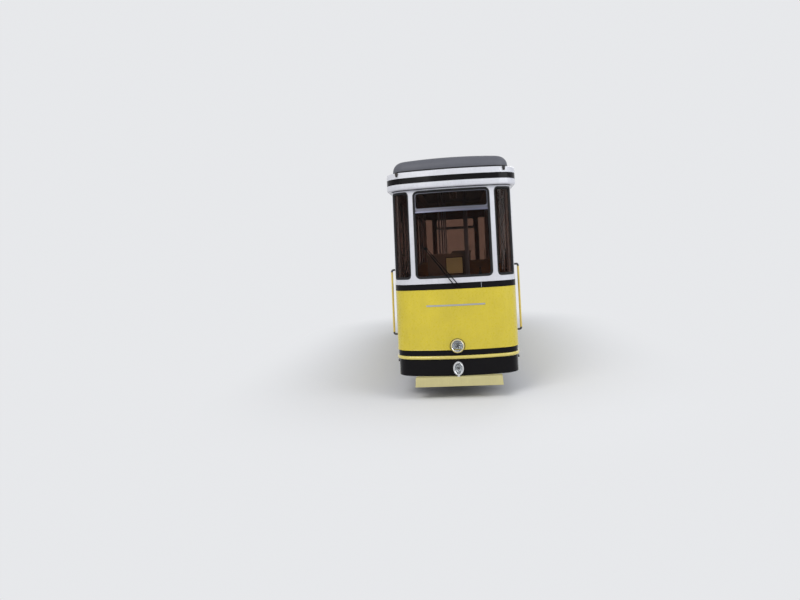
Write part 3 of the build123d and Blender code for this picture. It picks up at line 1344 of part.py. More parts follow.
# Equipment boxes under the middle of the car: side, place along it, length and depth
EQUIPMENT = (
    ("left", -550, 900, 360),
    ("right", -450, 1000, 400),
    ("right", 750, 800, 330),
    ("left", 750, 900, 300),
)
EQUIPMENT_PLACE = 590
EQUIPMENT_WIDTH = 480
EQUIPMENT_ROUND = 18
with BuildPart() as equipment_boxes:
    for side, place, length, depth in EQUIPMENT:
        top = (SIDES[side] * EQUIPMENT_PLACE, foot + place, FRAME_BOTTOM)
        with BuildSketch(Plane(origin=top, z_dir=(0, 0, -1))):
            RectangleRounded(EQUIPMENT_WIDTH, length, EQUIPMENT_ROUND)
        extrude(amount=depth)
equipment_boxes.part.label = "equipment_boxes"
export_step(equipment_boxes.part, "parts/equipment_boxes.step")
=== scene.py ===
import json
import math

import bmesh
import bpy
from mathutils import Matrix, Vector


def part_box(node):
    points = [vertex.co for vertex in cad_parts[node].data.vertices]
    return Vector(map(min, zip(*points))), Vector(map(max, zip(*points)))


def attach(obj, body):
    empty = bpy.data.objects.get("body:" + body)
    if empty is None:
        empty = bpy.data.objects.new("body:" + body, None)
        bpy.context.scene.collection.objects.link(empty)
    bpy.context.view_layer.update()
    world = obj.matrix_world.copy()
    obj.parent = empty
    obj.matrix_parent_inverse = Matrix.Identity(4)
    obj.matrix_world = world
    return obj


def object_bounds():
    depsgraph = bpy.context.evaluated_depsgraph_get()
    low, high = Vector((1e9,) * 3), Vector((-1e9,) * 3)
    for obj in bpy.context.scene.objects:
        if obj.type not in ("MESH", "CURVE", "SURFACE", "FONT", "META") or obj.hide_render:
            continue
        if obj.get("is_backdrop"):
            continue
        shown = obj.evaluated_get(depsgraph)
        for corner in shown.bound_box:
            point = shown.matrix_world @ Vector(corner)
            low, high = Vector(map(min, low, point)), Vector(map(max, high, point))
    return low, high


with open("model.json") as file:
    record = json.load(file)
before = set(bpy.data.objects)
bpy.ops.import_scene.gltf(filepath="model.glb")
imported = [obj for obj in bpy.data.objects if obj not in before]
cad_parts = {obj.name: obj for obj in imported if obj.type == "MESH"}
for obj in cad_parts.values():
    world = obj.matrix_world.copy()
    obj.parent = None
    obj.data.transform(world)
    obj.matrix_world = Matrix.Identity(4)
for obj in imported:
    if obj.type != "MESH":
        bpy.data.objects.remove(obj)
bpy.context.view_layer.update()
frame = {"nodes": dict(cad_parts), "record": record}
nodes = frame["nodes"]

# Measures of the body, in metres
LEAN = math.radians(8)
TAN = math.tan(LEAN)
ACROSS, FORWARD, UP = Vector((1, 0, 0)), Vector((0, 1, 0)), Vector((0, 0, 1))
PLUMB = Vector((0, math.sin(LEAN), math.cos(LEAN)))
LEANING_AXES = (ACROSS, FORWARD, PLUMB)
NOSE_RADIUS = 3.2
CORNER_RADIUS = 0.32
HALF_LENGTH = 5.0
GLASS_GAP = 0.004
ROUND_STEPS, CORNER_STEPS, NOSE_STEPS = 7, 8, 16
DOOR_START, DOOR_END = 3.5, 4.35
DOOR_MIDDLE = (DOOR_START + DOOR_END) / 2
DOOR_LAP = 0.03
DOOR_STILE = 0.13
DOOR_SILL = 1.0
LEAF_INSET = 0.065
SIDE_WINDOWS = 6
SIDE_POST = 0.13
SCREEN_HALF = 0.65
SCREEN_ROUND = 0.075
CORNER_ANGLES = (2, 66)
CORNER_ROUND, CORNER_ROUND_OUTER = 0.065, 0.025
SIDE_ROUND = 0.06
ENDS = {"front": -1, "rear": 1}
SIDES = {"left": -1, "right": 1}
CORNERS = [(f"{end_name}_{side_name}_door", end, side)
           for end_name, end in ENDS.items() for side_name, side in SIDES.items()]

HALF_WIDTH = -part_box("left_lower_wall")[0].x
PANEL_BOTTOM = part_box("left_lower_wall")[0].z
BELT_LOW, BELT_HIGH = (corner.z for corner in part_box("belt_stripe"))
BAND_LOW, BAND_HIGH = (corner.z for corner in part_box("roof_band"))
STRIPE_LOW, STRIPE_HIGH = (corner.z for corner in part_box("band_stripe"))
BAND_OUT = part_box("roof_band")[1].x - HALF_WIDTH
WINDOW_LOW, WINDOW_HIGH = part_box("end_glass")[0].z - GLASS_GAP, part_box("end_glass")[1].z + GLASS_GAP
SIDE_WINDOW_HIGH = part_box("side_glass")[1].z + GLASS_GAP
DOOR_WINDOW_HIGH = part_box("front_left_door_glass")[1].z
VENT_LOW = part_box("vent_frames")[0].z
ROOF_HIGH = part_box("roof")[1].z

# Y of the body's middle at height 0, from the stripe that runs round the whole body
stripe_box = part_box("band_stripe")
SHIFT = (stripe_box[0].y + stripe_box[1].y) / 2 - (STRIPE_LOW + STRIPE_HIGH) / 2 * TAN
CORNER_X = HALF_WIDTH - CORNER_RADIUS
NOSE_ANGLE = math.asin(CORNER_X / (NOSE_RADIUS - CORNER_RADIUS))
NOSE_CENTRE = HALF_LENGTH - NOSE_RADIUS
CORNER_PLACE = NOSE_CENTRE + (NOSE_RADIUS - CORNER_RADIUS) * math.cos(NOSE_ANGLE)


def along(place, height):
    """Y of a point of the body from its place along the body and its height."""
    return SHIFT + place + height * TAN


# Surfaces of the body: each gives the point at two measures on it and a distance in front of it

def nose_surface(end):
    """Curved nose of an end, by x and height."""
    def spot(x, height, out=0.0):
        radius = NOSE_RADIUS + out
        return Vector((x, along(end * (NOSE_CENTRE + math.sqrt(radius * radius - x * x)), height), height))
    return spot


def corner_surface(end, side):
    """Rounded corner of the body, by arc from its start at the nose and height."""
    def spot(arc, height, out=0.0):
        turn, radius = arc / CORNER_RADIUS, CORNER_RADIUS + out
        place = end * (CORNER_PLACE + radius * math.cos(turn))
        return Vector((side * (CORNER_X + radius * math.sin(turn)), along(place, height), height))
    return spot


def side_surface(side, inset=0.0):
    """Flat side at an inset from the outer skin, by place along the body and height."""
    def spot(place, height, out=0.0):
        return Vector((side * (HALF_WIDTH - inset + out), along(place, height), height))
    return spot


def rounded_loop(left, right, low, high, radii, pitch=0.1):
    """Round a rectangle: (a, height, inward a, inward height), radii from lower left against the clock."""
    corners = ((left, low, 1, 1, 180), (right, low, -1, 1, 270), (right, high, -1, -1, 0),
               (left, high, 1, -1, 90))
    points = []
    for (a, height, in_a, in_height, start), radius in zip(corners, radii):
        for step in range(ROUND_STEPS + 1):
            turn = math.radians(start + 90 * step / ROUND_STEPS)
            out_a, out_height = math.cos(turn), math.sin(turn)
            points.append((a + radius * (in_a + out_a), height + radius * (in_height + out_height),
                           -out_a, -out_height))
    loop = []
    for index, point in enumerate(points):
        following = points[(index + 1) % len(points)]
        length = math.dist(point[:2], following[:2])
        count = max(1, round(length / pitch))
        for step in range(count):
            share = step / count
            loop.append(tuple(one + (two - one) * share for one, two in zip(point, following)))
    return loop


def loop_frames(surface, loop):
    """Frames (origin, inward, outward) of a loop on a surface."""
    small = 1e-4
    frames = []
    for a, height, in_a, in_height in loop:
        origin = surface(a, height)
        inward = (surface(a + in_a * small, height + in_height * small) - origin).normalized()
        outward = (surface(a, height, small) - origin).normalized()
        frames.append((origin, inward, outward))
    return frames


def outline(start, stop):
    """Plan of the body as arcs (centre x, centre place, radius, turn) between two turns from the nose."""
    corner = math.degrees(NOSE_ANGLE)
    sections = (
        (-90, -corner, -CORNER_X, -CORNER_PLACE, CORNER_RADIUS),
        (-corner, corner, 0, -NOSE_CENTRE, NOSE_RADIUS),
        (corner, 90, CORNER_X, -CORNER_PLACE, CORNER_RADIUS),
        (90, 180 - corner, CORNER_X, CORNER_PLACE, CORNER_RADIUS),
        (180 - corner, 180 + corner, 0, NOSE_CENTRE, NOSE_RADIUS),
        (180 + corner, 270, -CORNER_X, CORNER_PLACE, CORNER_RADIUS),
    )
    rows = []
    for first, last, x, place, radius in sections:
        if first >= start - 1e-6 and last <= stop + 1e-6:
            count = NOSE_STEPS if radius == NOSE_RADIUS else CORNER_STEPS
            rows += [(x, place, radius, first + (last - first) * step / count) for step in range(count + 1)]
    return rows


def skin_frames(height, rows, plumb=True):
    """Frames (origin, up, outward) on the skin at a height, for rows of the outline."""
    up = PLUMB if plumb else UP
    frames = []
    for x, place, radius, turn in rows:
        across, forward = math.sin(math.radians(turn)), -math.cos(math.radians(turn))
        origin = Vector((x + radius * across, along(place + radius * forward, height), height))
        frames.append((origin, up, Vector((across, forward, 0))))
    return frames


def body_runs(height):
    """The skin at a height as runs of frames that stop at the door openings."""
    runs = []
    for start, stop, end in ((-90, 90, -1), (90, 270, 1)):
        rows = outline(start, stop)
        first, last = rows[0][0], rows[-1][0]
        rows = ([(first, end * DOOR_END, CORNER_RADIUS, start)] + rows
                + [(last, end * DOOR_END, CORNER_RADIUS, stop)])
        runs.append(skin_frames(height, rows))
    for side in SIDES.values():
        runs.append([(side_surface(side)(place, height), PLUMB, ACROSS * side)
                     for place in (-DOOR_START, DOOR_START)])
    return runs


# Pieces

def placed(name, data):
    """New object in the scene."""
    made = bpy.data.objects.new(name, data)
    bpy.context.scene.collection.objects.link(made)
    return made


class Trim:
    """Small parts gathered into one mesh."""

    def __init__(self):
        self.points = []
        self.faces = []

    def sweep(self, frames, profile, closed=False):
        """Closed profile of (along the frame's second vector, along its third) carried along the frames."""
        rings = [[origin + second * a + third * b for a, b in profile] for origin, second, third in frames]
        self.loft(rings, closed)

    def loft(self, rings, closed=False):
        """Skin over rings of points, closed into a loop or with a cap at each end."""
        base, count = len(self.points), len(rings[0])
        for ring in rings:
            self.points += ring
        starts = [base + count * row for row in range(len(rings))]
        for one, two in zip(starts, starts[1:] + starts[:1] if closed else starts[1:]):
            for index in range(count):
                after = (index + 1) % count
                self.faces.append((one + index, one + after, two + after, two + index))
        if not closed:
            self.faces += [tuple(range(start, start + count)) for start in (starts[0], starts[-1])]

    def turned(self, origin, axis, profile, steps=24, turn=0.0):
        """Solid turned round an axis from (distance along it, radius)."""
        axis = Vector(axis).normalized()
        across = axis.orthogonal().normalized() if abs(axis.z) > 0.9 else axis.cross(UP).normalized()
        up = across.cross(axis).normalized()
        rings = []
        for distance, radius in profile:
            ring = []
            for step in range(steps):
                angle = turn + math.tau * step / steps
                ring.append(Vector(origin) + axis * distance + across * radius * math.cos(angle)
                            + up * radius * math.sin(angle))
            rings.append(ring)
        self.loft(rings)

    def bolt(self, origin, axis, radius, height, turn=0.0):
        """Hexagon head on a washer."""
        self.turned(origin, axis, ((-0.001, radius * 1.45), (height * 0.22, radius * 1.45)), 16)
        head = ((height * 0.22, radius), (height * 0.85, radius), (height, radius * 0.86))
        self.turned(origin, axis, head, 6, turn)

    def block(self, centre, size, edge, axes=(ACROSS, FORWARD, UP)):
        """Block along three axes, with bevels along its edges on the third."""
        first, second, third = axes
        half_one, half_two, half_three = (measure / 2 for measure in size)
        plan = []
        for sign_one, sign_two in ((-1, -1), (1, -1), (1, 1), (-1, 1)):
            near = (sign_one * (half_one - edge), sign_two * half_two)
            far = (sign_one * half_one, sign_two * (half_two - edge))
            pair = [far, near] if sign_one * sign_two > 0 else [near, far]
            plan += pair if edge else [far]
        rings = [[Vector(centre) + first * a + second * b + third * lift for a, b in plan]
                 for lift in (-half_three, half_three)]
        self.loft(rings)

    def piece(self, name, finish, body="car_body", sharp=35, slot=None):
        """The gathered mesh as an object that rides on a body."""
        mesh = bpy.data.meshes.new(name)
        mesh.from_pydata([tuple(point) for point in self.points], [], self.faces)
        work = bmesh.new()
        work.from_mesh(mesh)
        bmesh.ops.remove_doubles(work, verts=work.verts, dist=1e-6)
        bmesh.ops.recalc_face_normals(work, faces=work.faces)
        for face in work.faces:
            face.smooth = True
        for edge in work.edges:
            if len(edge.link_faces) == 2 and edge.calc_face_angle(0.0) > math.radians(sharp):
                edge.smooth = False
        work.to_mesh(mesh)
        work.free()
        mesh.materials.append(materials[finish])
        made = placed(name, mesh)
        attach(made, body)
        slot or finish


# Materials: a source is a (node, output) pair, and where a number or colour will do, either may be given

def material(name):
    """New material as (material, node tree, principled shader)."""
    made = bpy.data.materials.new(name)
    made.use_nodes = True
    return made, made.node_tree, made.node_tree.nodes["Principled BSDF"]


def node(tree, kind, **settings):
    """New shader node with the given properties and input values."""
    made = tree.nodes.new(kind)
    for key, value in settings.items():
        if key in made.inputs:
            made.inputs[key].default_value = value
        else:
            setattr(made, key, value)
    return made


def fix(shader, **values):
    """Constant values on a shader's inputs, with _ for the spaces in their names."""
    for name, value in values.items():
        shader.inputs[name.replace("_", " ")].default_value = value


def wire(*chain):
    """Link (node, output) to (node, input) for each pair in the chain."""
    for (source, output), (target, entry) in zip(chain[::2], chain[1::2]):
        source.id_data.links.new(source.outputs[output], target.inputs[entry])


def rgba(colour):
    """Colour with an alpha of 1."""
    return (*colour, 1.0)


def feed(value, entry):
    """Link a source to an input, or set the input to a number or colour."""
    if isinstance(value, tuple) and isinstance(value[0], bpy.types.Node):
        value[0].id_data.links.new(value[0].outputs[value[1]], entry)
    else:
        entry.default_value = rgba(value) if isinstance(value, tuple) else value


def position(tree):
    """Place in the frame at rest, which stays with a piece that moves."""
    return node(tree, "ShaderNodeTexCoord"), "Object"


def axes_of(tree):
    """Node that splits the position into X, Y and Z."""
    split = node(tree, "ShaderNodeSeparateXYZ")
    wire(position(tree), (split, "Vector"))
    return split


def noise(tree, scale, detail=4.0, rough=0.55):
    """Noise over the object."""
    made = node(tree, "ShaderNodeTexNoise", Scale=scale, Detail=detail, Roughness=rough)
    wire(position(tree), (made, "Vector"))
    return made, "Fac"


def ramp(source, stops):
    """Colour ramp over a source, from a list of (position, colour or grey)."""
    made = node(source[0].id_data, "ShaderNodeValToRGB")
    while len(made.color_ramp.elements) < len(stops):
        made.color_ramp.elements.new(0.5)
    for element, (place, colour) in zip(made.color_ramp.elements, stops):
        element.position = place
        element.color = rgba(colour if isinstance(colour, tuple) else (colour,) * 3)
    wire(source, (made, "Fac"))
    return made, "Color"


def mix(tree, factor, first, second, blend="MIX"):
    """Mix of two colours."""
    made = node(tree, "ShaderNodeMix", data_type="RGBA", blend_type=blend)
    for entry, value in ((0, factor), (6, first), (7, second)):
        feed(value, made.inputs[entry])
    return made, 2


def maths(tree, operation, *values):
    """One operation on numbers."""
    made = node(tree, "ShaderNodeMath", operation=operation)
    for value, entry in zip(values, made.inputs):
        feed(value, entry)
    return made, 0


def vector_node(operation, source, constant):
    """One operation on a source and a constant vector."""
    made = node(source[0].id_data, "ShaderNodeVectorMath", operation=operation)
    made.inputs[1].default_value = constant
    wire(source, (made, 0))
    return made


def bump(target, source, strength, distance):
    """Bump that feeds the normal of a shader, or of another bump."""
    made = node(target.id_data, "ShaderNodeBump", Strength=strength, Distance=distance)
    wire(source, (made, "Height"), (made, "Normal"), (target, "Normal"))
    return made


def height_of(tree):
    """Height above the track."""
    return axes_of(tree), "Z"


def inside_mask(tree):
    """1 on faces that look towards the middle of the car, such as the inner side of a wall."""
    flat = vector_node("MULTIPLY", position(tree), (1.0, 1.0, 0.0))
    product = node(tree, "ShaderNodeVectorMath", operation="DOT_PRODUCT")
    wire((flat, 0), (product, 0), (node(tree, "ShaderNodeNewGeometry"), "True Normal"), (product, 1))
    return maths(tree, "LESS_THAN", (product, "Value"), -0.05)


def strip_mask(tree, coordinate, spots, half):
    """1 within half of any of the spots of a coordinate."""
    total = None
    for spot in spots:
        near = maths(tree, "COMPARE", coordinate, spot, half)
        total = near if total is None else maths(tree, "MAXIMUM", total, near)
    return total


def place_of(tree, lean):
    """Place along the body, whose lines across lean by this much."""
    product = vector_node("DOT_PRODUCT", position(tree), (0.0, 1.0, -lean))
    return maths(tree, "SUBTRACT", (product, "Value"), SHIFT)


def drawn_out(tree, squeeze, **settings):
    """Noise that is squeezed by this much along each axis, such as streaks and grain."""
    mapping = node(tree, "ShaderNodeMapping", Scale=squeeze)
    made = node(tree, "ShaderNodeTexNoise", **settings)
    wire(position(tree), (mapping, "Vector"), (mapping, "Vector"), (made, "Vector"))
    return made, "Fac"


def paint(name, colour, rough, coat, dirt=(0.30, 0.27, 0.22), dirt_amount=0.13,
          inner=None, bands=(), seams=(), seam_lean=TAN, seam_half=0.0016, specular=0.4):
    """Coachwork paint: orange peel, faded patches, rain streaks and road dust that thickens downwards.

    bands is a list of (height, colour) from the bottom up, for paint that changes at fixed heights.
    inner is the colour of the faces that look into the car. seams are joints at places along the body."""
    made, tree, shader = material(name)
    level = height_of(tree)
    base = colour
    for height, tint in bands:
        base = mix(tree, maths(tree, "GREATER_THAN", level, height), base, tint)
    faded = ramp(noise(tree, 1.7, 6.0, 0.62), [(0.30, (0.91, 0.91, 0.92)), (0.70, (1.05, 1.05, 1.04))])
    toned = mix(tree, 1.0, base, faded, "MULTIPLY")
    streaks = drawn_out(tree, (1.0, 1.0, 0.035), Scale=26.0, Detail=5.0, Roughness=0.6)
    runs = ramp(streaks, [(0.35, (0.90, 0.89, 0.87)), (0.60, 1.0)])
    toned = mix(tree, 0.35, toned, mix(tree, 1.0, toned, runs, "MULTIPLY"))
    fine = noise(tree, 24.0, 8.0, 0.7)
    low = maths(tree, "MULTIPLY_ADD", level, -0.42, 1.05)
    low[0].use_clamp = True
    speck = maths(tree, "MULTIPLY", ramp(fine, [(0.30, 0), (0.90, 1)]), low)
    dusty = mix(tree, maths(tree, "MULTIPLY", speck, dirt_amount), toned, dirt)
    seam = strip_mask(tree, place_of(tree, seam_lean), seams, seam_half) if seams else None
    if seam:
        dusty = mix(tree, maths(tree, "MULTIPLY", seam, 0.75), dusty, (0.03, 0.028, 0.025))
    if inner:
        dusty = mix(tree, inside_mask(tree), dusty, inner)
    wire(dusty, (shader, "Base Color"))
    wire(ramp(fine, [(0.3, rough), (0.8, rough + 0.12)]), (shader, "Roughness"))
    peel = bump(shader, noise(tree, 260.0, 2.0, 0.5), 0.05, 0.0006)
    waves = bump(peel, noise(tree, 5.0, 2.0, 0.4), 0.10, 0.004)
    if seam:
        bump(waves, seam, 0.8, 0.002).invert = True
    fix(shader, Coat_Weight=coat, Coat_Roughness=0.06, Specular_IOR_Level=specular)
    return made


def metal(name, colour, rough, metallic, grime, grime_amount, scale, bump_size=0.0006):
    """Bare or thinly coated metal with grime in patches and a fine uneven surface."""
    made, tree, shader = material(name)
    coarse = noise(tree, scale, 8.0, 0.65)
    amount = maths(tree, "MULTIPLY", ramp(coarse, [(0.40, 0), (0.72, 1)]), grime_amount)
    wire(mix(tree, amount, colour, grime), (shader, "Base Color"))
    wire(ramp(coarse, [(0.3, rough), (0.8, min(1.0, rough + 0.25))]), (shader, "Roughness"))
    fix(shader, Metallic=metallic)
    bump(shader, noise(tree, scale * 12, 3.0, 0.6), 0.2, bump_size)
    return made


def rubber(name, colour=(0.010, 0.010, 0.011), rough=0.55):
    """Weathered rubber."""
    made, tree, shader = material(name)
    grey = [(0.35, colour), (0.75, tuple(part * 2.2 for part in colour))]
    wire(ramp(noise(tree, 45.0, 6.0, 0.6), grey), (shader, "Base Color"))
    fix(shader, Roughness=rough, Specular_IOR_Level=0.15)
    bump(shader, noise(tree, 500.0), 0.15, 0.0004)
    return made


def glass(name, tint, rough=0.0, flutes=0.0, index=1.16):
    """Window glass with a faint smear of dust, or lens glass with upright flutes this far apart."""
    made, tree, shader = material(name)
    fix(shader, Transmission_Weight=1.0, IOR=index)
    smear = noise(tree, 6.0, 8.0, 0.7)
    wire(ramp(smear, [(0.45, rough), (0.80, rough + 0.04)]), (shader, "Roughness"))
    tones = [(0.3, tint), (0.9, tuple(part * 0.92 for part in tint))]
    wire(ramp(smear, tones), (shader, "Base Color"))
    if flutes:
        turn = maths(tree, "MULTIPLY", (axes_of(tree), "X"), math.tau / flutes)
        bump(shader, maths(tree, "SINE", turn), 0.6, 0.002)
    return made


def wood(name, light, dark):
    """Varnished bench wood, with its grain across the car."""
    made, tree, shader = material(name)
    grain = drawn_out(tree, (1.5, 22.0, 22.0), Scale=2.2, Detail=8.0, Roughness=0.65, Distortion=0.6)
    tones = [(0.30, dark), (0.55, light), (0.75, tuple(part * 1.15 for part in light))]
    wire(ramp(grain, tones), (shader, "Base Color"))
    fix(shader, Roughness=0.32, Coat_Weight=0.4)
    bump(shader, grain, 0.15, 0.0008)
    return made


def rim_finish():
    """Lamp rims: cream enamel on the upper lamp, chrome on the lower one."""
    made, tree, shader = material("lamp_rim_finish")
    upper = maths(tree, "GREATER_THAN", height_of(tree), BETWEEN_LAMPS)
    grime = ramp(noise(tree, 60.0, 6.0, 0.6), [(0.45, 1.0), (0.8, (0.72, 0.70, 0.66))])
    base = mix(tree, upper, (0.74, 0.75, 0.76), (0.60, 0.50, 0.19))
    wire(mix(tree, 1.0, base, grime, "MULTIPLY"), (shader, "Base Color"))
    wire(maths(tree, "SUBTRACT", 1.0, upper), (shader, "Metallic"))
    fix(shader, Roughness=0.16)
    return made


def wheel_finish(name, axle):
    """Wheelset whose treads are worn bright and whose webs and axle are rusty and oiled."""
    made, tree, shader = material(name)
    flat = vector_node("MULTIPLY", position(tree), (0.0, 1.0, 1.0))
    reach = vector_node("DISTANCE", (flat, 0), (0.0, axle, AXLE_HEIGHT))
    worn = ramp((reach, "Value"), [(WEB_REACH, 0), (TREAD_REACH, 1)])
    grime = noise(tree, 18.0, 8.0, 0.65)
    dull = ramp(grime, [(0.35, (0.055, 0.048, 0.042)), (0.75, (0.13, 0.085, 0.055))])
    bright = ramp(grime, [(0.30, (0.60, 0.59, 0.57)), (0.80, (0.40, 0.38, 0.35))])
    wire(mix(tree, worn, dull, bright), (shader, "Base Color"))
    wire(ramp(worn, [(0.0, 0.62), (1.0, 0.24)]), (shader, "Roughness"))
    fix(shader, Metallic=0.85)
    bump(shader, grime, 0.2, 0.001)
    return made


YELLOW = (0.60, 0.480, 0.030)
PALE_YELLOW = (0.58, 0.52, 0.24)
WHITE = (0.60, 0.605, 0.650)
BLACK = (0.006, 0.0055, 0.0065)
LINING = (0.30, 0.105, 0.062)
SIDE_SEAMS = (-2.27, 0.0, 2.27)
ROOF_SEAMS = (-3.4, -1.15, 1.15, 3.4)
RAIL_YELLOW_LOW, RAIL_YELLOW_HIGH = 1.09, 2.155
BETWEEN_LAMPS = 0.69
HALF_BASE = 0.75
AXLE_HEIGHT = 0.35
WEB_REACH, TREAD_REACH = 0.318, 0.328
FOOT = along(0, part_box("underframe")[0].z)
BOGIES = {name: FOOT + end * 2.9 for name, end in ENDS.items()}

materials = {
    "yellow_paint": paint("yellow_coach_paint", YELLOW, 0.24, 0.2, inner=LINING, seams=SIDE_SEAMS),
    "white_paint": paint("white_coach_paint", WHITE, 0.24, 0.3, dirt_amount=0.12, inner=LINING),
    "black_gloss": paint("black_gloss_paint", BLACK, 0.14, 0.05, dirt=(0.05, 0.046, 0.042), dirt_amount=0.05,
                         specular=0.06),
    "roof_grey": paint("roof_paint", (0.094, 0.097, 0.116), 0.52, 0.0, dirt=(0.10, 0.095, 0.09),
                       dirt_amount=0.35, inner=(0.46, 0.42, 0.36), seams=ROOF_SEAMS, seam_lean=0.0,
                       seam_half=0.004),
    "cream_paint": paint("beam_paint", PALE_YELLOW, 0.36, 0.3, dirt_amount=0.22),
    "dark_steel": metal("underframe_steel", (0.035, 0.035, 0.037), 0.55, 0.2, (0.11, 0.09, 0.07), 0.5, 9.0),
    "wheel_steel": metal("wheel_steel", (0.30, 0.29, 0.28), 0.35, 0.9, (0.07, 0.055, 0.045), 0.75, 14.0),
    "bright_metal": metal("satin_aluminium", (0.42, 0.44, 0.50), 0.30, 1.0, (0.22, 0.22, 0.24), 0.3, 60.0),
    "chrome": metal("chrome_trim", (0.78, 0.79, 0.80), 0.08, 1.0, (0.45, 0.44, 0.42), 0.2, 80.0, 0.0002),
    "window_glass": glass("window_glass", (0.25, 0.225, 0.215)),
    "lens_glass": glass("lens_glass", (0.92, 0.94, 0.95), 0.02, flutes=0.012, index=1.45),
    "black_rubber": rubber("black_rubber"),
    "rail_yellow": paint("rail_yellow_paint", BLACK, 0.25, 0.6, dirt_amount=0.15,
                         bands=((RAIL_YELLOW_LOW, (0.66, 0.50, 0.10)), (RAIL_YELLOW_HIGH, BLACK))),
    "bench_wood": wood("bench_wood", (0.50, 0.27, 0.10), (0.30, 0.14, 0.05)),
    "floor_cover": rubber("floor_cover", (0.055, 0.055, 0.058), 0.7),
    "desk_grey": metal("desk_enamel", (0.26, 0.235, 0.20), 0.42, 0.0, (0.13, 0.12, 0.10), 0.3, 25.0),
    "cast_steel": metal("cast_steel", (0.09, 0.088, 0.088), 0.5, 0.6, (0.10, 0.07, 0.05), 0.5, 18.0, 0.0015),
    "spring_steel": metal("spring_steel", (0.075, 0.068, 0.062), 0.48, 0.7, (0.12, 0.075, 0.045), 0.6, 22.0,
                          0.001),
    "plate_enamel": paint("plate_enamel", (0.78, 0.88, 0.50), 0.42, 0.0, dirt_amount=0.10),
    "vent_rail": metal("blued_aluminium", (0.125, 0.128, 0.175), 0.34, 0.9, (0.08, 0.08, 0.11), 0.3, 60.0),
}
own_finishes = {
    "lamp_rims": rim_finish(),
    "end_glass": glass("end_window_glass", (0.34, 0.245, 0.205)),
    "wipers": paint("wiper_enamel", (0.003, 0.003, 0.0035), 0.40, 0.0, dirt_amount=0.0, specular=0.05),
    "vent_frames": metal("vent_frame_aluminium", (0.120, 0.122, 0.148), 0.34, 0.85, (0.07, 0.07, 0.09), 0.3,
                         60.0),
    # Sill moulding: yellow paint made paler than the body's yellow, as a painted highlight of the sheen along
    # its half-round
    "sill_moulding": paint("moulding_paint_with_painted_highlight", (0.64, 0.53, 0.12), 0.20, 0.8, dirt_amount=0.08),
}
door_paint = paint("door_paint", YELLOW, 0.24, 0.2, inner=LINING,
                   bands=((BELT_LOW, BLACK), (BELT_HIGH, WHITE)))
for end_name, bogie in BOGIES.items():
    for part, shift in (("lower", -HALF_BASE), ("upper", HALF_BASE)):
        axle_name = f"{end_name}_{part}_wheelset"
        own_finishes[axle_name] = wheel_finish(f"{axle_name}_finish", bogie + shift)

slots = {row["node"]: row["material_slot"] for row in frame["record"]["subparts"]}
for name, piece in nodes.items():
    finish = door_paint if name.endswith("_door") else materials[slots[name]]
    piece.data.materials.clear()
    piece.data.materials.append(own_finishes.get(name, finish))

# Rubber and frames round the panes

# Rubber over the edge of an opening and down to the pane: into the opening, and out from the skin
SCREEN_RUBBER = (
    (-0.015, 0.0006), (-0.012, 0.004), (0.002, 0.007), (0.012, 0.003), (0.024, -0.008), (0.028, -0.0255),
    (0.0055, -0.0255), (0.0006, -0.020), (0.0006, 0.0006),
)
SIDE_RUBBER = (
    (-0.012, 0.0006), (-0.010, 0.004), (0.0, 0.0055), (0.004, 0.0045), (0.004, -0.0255), (0.0006, -0.0255),
    (0.0006, 0.0006),
)
SASH = (
    (0.0045, -0.0255), (0.0045, 0.002), (0.007, 0.0045), (0.023, 0.0045), (0.027, 0.001), (0.029, -0.0255),
)
DOOR_RUBBER = (
    (-0.012, 0.0004), (-0.010, 0.002), (0.004, 0.002), (0.013, -0.003), (0.016, -0.0155), (0.0006, -0.0155),
    (0.0006, 0.0004),
)
VENT_RUBBER = ((-0.002, -0.0150), (0.002, -0.0135), (0.008, -0.016), (0.010, -0.0258), (0.0006, -0.0258))
VENT_BAR = 0.043
VENT_SIDE = 0.034
VENT_ROUND = 0.044
TILT_BAR_SECTION = ((-0.016, -0.0255), (-0.016, -0.004), (-0.012, -0.001), (0.012, -0.001), (0.016, -0.004),
                    (0.016, -0.0255))
SEAL = ((0.0005, -0.056), (0.012, -0.053), (0.014, -0.040), (0.008, -0.028), (0.0005, -0.026))
VENT_RAIL = (
    (-0.034, -0.0252), (0.0, -0.0252), (0.0, -0.013), (-0.005, -0.010), (-0.029, -0.010), (-0.034, -0.015),
)

screen_loop = rounded_loop(-SCREEN_HALF, SCREEN_HALF, WINDOW_LOW, WINDOW_HIGH, [SCREEN_ROUND] * 4)
corner_arc = [math.radians(angle) * CORNER_RADIUS for angle in CORNER_ANGLES]
corner_loop = rounded_loop(*corner_arc, WINDOW_LOW, WINDOW_HIGH,
                           (CORNER_ROUND, CORNER_ROUND_OUTER, CORNER_ROUND_OUTER, CORNER_ROUND), pitch=0.04)
vent_loop = rounded_loop(VENT_SIDE - SCREEN_HALF, SCREEN_HALF - VENT_SIDE, VENT_LOW + VENT_BAR,
                         WINDOW_HIGH - VENT_SIDE, [VENT_ROUND] * 4)

screen_rubber, vent_rubber = Trim(), Trim()
for end in ENDS.values():
    screen_rubber.sweep(loop_frames(nose_surface(end), screen_loop), SCREEN_RUBBER, True)
    vent_rubber.sweep(loop_frames(nose_surface(end), vent_loop), VENT_RUBBER, True)
    for side in SIDES.values():
        screen_rubber.sweep(loop_frames(corner_surface(end, side), corner_loop), SCREEN_RUBBER, True)
screen_rubber.piece("screen_rubbers", "black_rubber")
vent_rubber.piece("vent_rubbers", "black_rubber")

